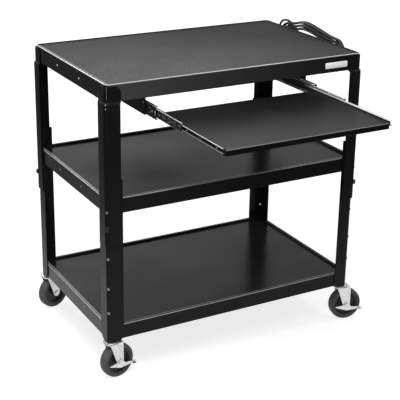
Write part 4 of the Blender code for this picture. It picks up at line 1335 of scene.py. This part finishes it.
# Each slot and earth hole is a thin dark slab: painted shade on the socket faces
slot = slab(eased(rectangle(*socketShape["slot"]), 0.0003, 3), 0.00012, 0.00002)
earth = eased(rectangle(socketShape["earth"], socketShape["earth"]), 0.0018, 6)
earth = slab(earth, 0.00012, 0.00002)
faces, slotShades = [onSocketRow(bar, socketLow.x)], []
for number in (-1, 0, 1):
    along = number * socketShape["pitch"]
    faces.append(onSocketRow(ringLathe(rim, 48), socketHigh.x - 0.0001, along))
    for side in (-1, 1):
        aside = along + side * socketShape["slotSpread"] / 2
        slotShades.append(onSocketRow(slot, socketHigh.x, aside, socketShape["slotRise"]))
    slotShades.append(onSocketRow(earth, socketHigh.x, along, -socketShape["earthDrop"]))
makePiece("socketBar", faces, socketPlastic, "upper_frame", ("socket_row",), angle=35)
makePiece("socketSlots", slotShades, plugPlastic, "upper_frame")


hookShape = {
    "radius": 0.0035,
    "reach": 0.040,
    "bend": 0.007,
    "rise": 0.014,
    "gap": 0.0003,
    # radii and heights of the tip and of the base
    "tip": ((0.0035, 0), (0.0033, 0.0008), (0.0024, 0.0016), (0.0011, 0.0020), (0, 0.0021)),
    "base": (
        (0, 0), (0.0088, 0), (0.009, 0.0003), (0.009, 0.0018), (0.0083, 0.0025), (0.0042, 0.0027),
        (0, 0.0027),
    ),
    "startsUp": 0.00125,  # inside the base
}
hookLevel = windingLevel + cordShape["innerRadius"] - cordShape["diameter"] / 2
hookLevel -= hookShape["gap"] + hookShape["radius"]


def pegHook(y):
    # Straight out of a round base, a quarter circle upward, and straight up to a round tip.
    foot, end = apronX + hookShape["gap"], apronX + hookShape["reach"]
    bend, top = hookShape["bend"], hookLevel + hookShape["rise"]
    angle = np.linspace(-math.pi / 2, 0, 12)
    arm = np.linspace(foot + hookShape["startsUp"], end - bend, 12)
    arm = np.stack([arm, np.full(12, hookLevel)], axis=1)
    curve = bend * np.stack([np.cos(angle), np.sin(angle)], axis=1) + (end - bend, hookLevel + bend)
    rise = np.stack([np.full(4, end), np.linspace(hookLevel + bend, top, 5)[1:]], axis=1)
    path = np.insert(np.concatenate([arm, curve[1:], rise]), 1, y, axis=1)
    tip, base = lathe(hookShape["tip"], 16), lathe(hookShape["base"], 40)
    return [
        rod(roundSection(hookShape["radius"], 20), path, (0, 1, 0)),
        moved(tip, Matrix.Translation((end, y, top - hookShape["tip"][-1][1]))),
        moved(base, facing((foot, y, hookLevel), (1, 0, 0))),
    ]


for label, side in (("front", -1), ("rear", 1)):
    peg = pegHook(windingY + side * cordShape["halfRun"])
    node = f"cord_hook_{label}"
    makePiece(f"cordPeg_{label}", peg, blackSteel, "upper_frame", (node,), angle=40)
print("power strip and hooks made")


casterShape = {
    "inset": 0.012,
    "trail": 0.018,
    "swivels": {"front_left": 12, "front_right": -11, "rear_left": 18, "rear_right": 8},
    "wheelRadius": 0.0508,
    "tyreDepth": 0.012,
    "tyreHalf": 0.014,
    "shoulder": 0.0062,
    "wheelHalf": 0.0125,
    # radii and half widths of the wheel, from its bore to the rim
    "web": (
        (0.0043, 0.0157), (0.0070, 0.0157), (0.0074, 0.0153), (0.0108, 0.0150), (0.0112, 0.0142),
        (0.0114, 0.0052), (0.0128, 0.0042), (0.0200, 0.0038), (0.0300, 0.0042), (0.0322, 0.0050),
        (0.0334, 0.0066), (0.0336, 0.0116), (0.0344, 0.0124),
    ),
    "forkHalf": 0.0185,
    "forkEdge": 0.0007,
    "axleRadius": 0.004,
    "axleNut": (0.0122, 0.003),
    "axleOut": (0.0003, 0.0031),  # beyond the fork's outer face, plain and through a pedal
    "plate": 0.040,
    "plateInward": 0.0245,
    "plateSheet": 0.0025,
    "bolt": (0.009, 0.003),
    "boltSpread": 0.013,
    "raceDepths": (0.0003, 0.005, 0.0098),  # top, upper face and lower edge, below the mount's top
    "pinHead": 0.0021,
    "raceGap": (0.0200, 0.0222, 0.0014, 0.0030),  # radii, and heights over the race's lower edge
}


def tyreRing():
    # Round the tread go powers of an angle's sine across and of its cosine outward, which
    # gives a flat crown with round shoulders. The walls draw in towards the rim.
    radius, half, shoulder = (casterShape[key] for key in ("wheelRadius", "tyreHalf", "shoulder"))
    inner = radius - casterShape["tyreDepth"] + 0.0003
    angle = np.linspace(-math.pi / 2, math.pi / 2, 29)
    crownX = np.sign(np.sin(angle)) * np.abs(np.sin(angle)) ** 0.72
    crownR = np.cos(angle) ** 0.55
    tread = np.stack([radius - shoulder + shoulder * crownR, half * crownX], axis=1)
    wall = [(0.0044, 0.985), (0.0032, 1.0), (0.0016, 1.0), (0.0004, 0.97), (0.0, 0.94)]
    wall = np.array(wall) * (1, half) + (inner, 0)
    return ringLathe(np.concatenate([tread, wall, (wall * (1, -1))[::-1]]), 112)


def wheelCore():
    # Dished web between a rounded rim and a stepped boss: half a profile and its mirror.
    rim, half = casterShape["wheelRadius"] - casterShape["tyreDepth"], casterShape["wheelHalf"]
    upper = np.array([*casterShape["web"], (rim - 0.0008, half), (rim, half - 0.0006)])
    return ringLathe(np.concatenate([upper, (upper * (1, -1))[::-1]]), 96)


def raceStack(levels):
    # Neck, upper race with its rolled lip, and the kingpin's riveted end: one profile
    # turned round the pivot.
    plateTop, raceTop, raceBottom, headTop, pinEnd = levels
    return lathe(
        [
            (0, plateTop), (0.0095, plateTop), (0.0095, raceTop + 0.0008), (0.0103, raceTop),
            (0.0160, raceTop - 0.0001), (0.0205, raceTop - 0.0009), (0.0219, raceTop - 0.0024),
            (0.0219, raceBottom + 0.0010), (0.0212, raceBottom + 0.0002), (0.0195, raceBottom),
            (0.0050, raceBottom), (0.0050, headTop), (0.0074, headTop), (0.0080, headTop - 0.0006),
            (0.0078, pinEnd + 0.0008), (0.0062, pinEnd), (0, pinEnd),
        ],
        56,
    )


for corner, (side, end) in cornerSigns.items():
    pivotX = middleX + side * (halfWidth - casterShape["inset"])
    pivotY = middleY + end * (halfDepth - casterShape["inset"])
    pivot = Matrix.Translation((pivotX, pivotY, 0))
    swivel = pivot @ Matrix.Rotation(math.radians(casterShape["swivels"][corner]), 4, "Z")
    wheelAt = swivel @ Matrix.Translation((casterShape["trail"], 0, casterShape["wheelRadius"]))
    acrossAxle = wheelAt @ Matrix.Rotation(math.radians(90), 4, "X")
    makePiece(
        f"tyre_{corner}", [moved(tyreRing(), acrossAxle)], tyreRubber, f"wheel_{corner}",
        (f"caster_tyre_{corner}",), angle=50,
    )
    makePiece(
        f"wheelCore_{corner}", [moved(wheelCore(), acrossAxle)], hubPlastic, f"wheel_{corner}",
        (f"caster_wheel_{corner}",), angle=35,
    )
    softened(f"fork_{corner}", f"caster_fork_{corner}", casterShape["forkEdge"], brightZinc)
    stemLow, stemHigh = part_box(f"caster_stem_{corner}")
    levels = [stemHigh.z - depth for depth in casterShape["raceDepths"]]
    levels += [stemLow.z + casterShape["pinHead"], stemLow.z]
    width, sheet = casterShape["plate"], casterShape["plateSheet"]
    inward = casterShape["plateInward"]
    plateX, plateY = pivotX - side * inward, pivotY - end * inward
    plate = slab(eased(rectangle(width, width), 0.004, 6), sheet, 0.0005)
    mount = [moved(raceStack(levels), pivot)]
    mount.append(moved(plate, Matrix.Translation((plateX, plateY, stemHigh.z - sheet))))
    for along in (-casterShape["boltSpread"], casterShape["boltSpread"]):
        for across in (-casterShape["boltSpread"], casterShape["boltSpread"]):
            spot = (plateX + across, plateY + along, stemHigh.z - sheet)
            mount.append(moved(hexHead(*casterShape["bolt"]), facing(spot, (0, 0, -1), 0.3)))
    makePiece(
        f"casterMount_{corner}", mount, brightZinc, "lower_frame",
        (f"caster_stem_{corner}",), angle=30,
    )
    # A ring of painted shade for the gap of the ball race
    inner, outer, low, high = casterShape["raceGap"]
    gap = rectangle(outer - inner, high - low) + ((inner + outer) / 2, levels[2] + (low + high) / 2)
    gap = moved(ringLathe(gap, 56), pivot)
    makePiece(f"raceGap_{corner}", [gap], slotShadow, "lower_frame", angle=30)
    # The front axles reach out through the pedals
    braked, thick = end < 0, casterShape["axleRadius"]
    far, near = (casterShape["forkHalf"] + out for out in casterShape["axleOut"])
    near = near if braked else far
    pin = lathe([(0, -near), (thick, -near), (thick, far), (0, far)], 32)
    pin = moved(pin, wheelAt @ Matrix.Rotation(math.radians(-90), 4, "X"))
    nut = moved(hexHead(*casterShape["axleNut"]), wheelAt @ facing((0, -near, 0), (0, -1, 0), 0.2))
    head = moved(hexHead(*casterShape["axleNut"]), wheelAt @ facing((0, far, 0), (0, 1, 0), 0.5))
    makePiece(
        f"axle_{corner}", [pin, nut, head], brightZinc, f"caster_{corner}",
        (f"caster_axle_{corner}",), angle=28,
    )
    if braked:
        node = f"brake_lever_{corner}"
        softened(f"brakePedal_{corner}", node, casterShape["forkEdge"], brightZinc)
print("casters made")


studio = {
    "floorGlow": 0.80,  # round the cart, and far from it
    "farGlow": 1.0,
    "glowGrows": (0.9, 2.6),
    "mirroredFar": 0.0,
    "mirrorFades": (0.75, 1.6),
    "floorColor": 0.35,
    "floorReach": 12,
    "ambient": 0.35,
    "lamps": {
        # name: place, aimed at, size across and along, power
        "key": ((-0.85, -0.90, 2.40), (-0.10, 0.10, 0.6), (1.2, 1.2), 46),
        "lips": ((1.30, -0.45, 2.95), (0.0, 0.00, 0.6), (0.6, 0.6), 17),
        "rearStrip": ((-0.60, 2.75, 2.30), (0.0, 0.16, 0.6), (2.0, 0.5), 26),
    },
}


def seenDirectly(tree):
    # One where a camera, glossy or transmission ray asks, and zero for the rest.
    path = tree.nodes.new("ShaderNodeLightPath")
    shown = path.outputs["Is Camera Ray"]
    for ray in ("Is Glossy Ray", "Is Transmission Ray"):
        shown = reckoned(tree, "MAXIMUM", shown, path.outputs[ray])
    return shown


world = bpy.data.worlds.new("whiteStudio")
world.use_nodes = True
bpy.context.scene.world = world
sky = world.node_tree
background = sky.nodes["Background"]
background.inputs["Color"].default_value = (1, 1, 1, 1)
level = spread(sky, seenDirectly(sky), studio["ambient"], 1.0, 0.0, 1.0)
sky.links.new(level, background.inputs["Strength"])

floorFinish = bpy.data.materials.new("studioFloor")
floorFinish.use_nodes = True
ground = floorFinish.node_tree
ground.nodes.remove(ground.nodes["Principled BSDF"])
matte = ground.nodes.new("ShaderNodeBsdfDiffuse")
matte.inputs["Color"].default_value = (studio["floorColor"],) * 3 + (1,)
glow = ground.nodes.new("ShaderNodeEmission")
spot = ground.nodes.new("ShaderNodeTexCoord")
distance = ground.nodes.new("ShaderNodeVectorMath")
distance.operation = "LENGTH"
ground.links.new(spot.outputs["Object"], distance.inputs[0])
# Whiter with distance, where the lamps fall off
away = distance.outputs["Value"]
whiter = spread(ground, away, studio["floorGlow"], studio["farGlow"], *studio["glowGrows"])
# Reflections see a white floor near the cart that darkens away from it
nearer = spread(ground, away, 1.0, studio["mirroredFar"], *studio["mirrorFades"])
eyes = ground.nodes.new("ShaderNodeLightPath").outputs["Is Camera Ray"]
shown = spread(ground, eyes, nearer, whiter, 0.0, 1.0)
ground.links.new(reckoned(ground, "MULTIPLY", seenDirectly(ground), shown), glow.inputs["Strength"])
both = ground.nodes.new("ShaderNodeAddShader")
ground.links.new(matte.outputs["BSDF"], both.inputs[0])
ground.links.new(glow.outputs["Emission"], both.inputs[1])
ground.links.new(both.outputs["Shader"], ground.nodes["Material Output"].inputs["Surface"])

floorMesh = bpy.data.meshes.new("studioFloor")
corners = studio["floorReach"] * np.array([(-1.0, -1.0), (1, -1), (1, 1), (-1, 1)])
floorMesh.from_pydata(np.insert(corners, 2, 0.0, axis=1).tolist(), [], [(0, 1, 2, 3)])
floorMesh.materials.append(floorFinish)
floor = bpy.data.objects.new("studioFloor", floorMesh)
bpy.context.scene.collection.objects.link(floor)

for lampName, (place, target, (across, along), power) in studio["lamps"].items():
    lampData = bpy.data.lights.new(lampName, "AREA")
    lampData.shape = "RECTANGLE"
    lampData.size, lampData.size_y = across, along
    lampData.energy = power
    lamp = bpy.data.objects.new(lampName, lampData)
    bpy.context.scene.collection.objects.link(lamp)
    lamp.matrix_world = facing(place, Vector(place) - Vector(target))
print("studio lit")
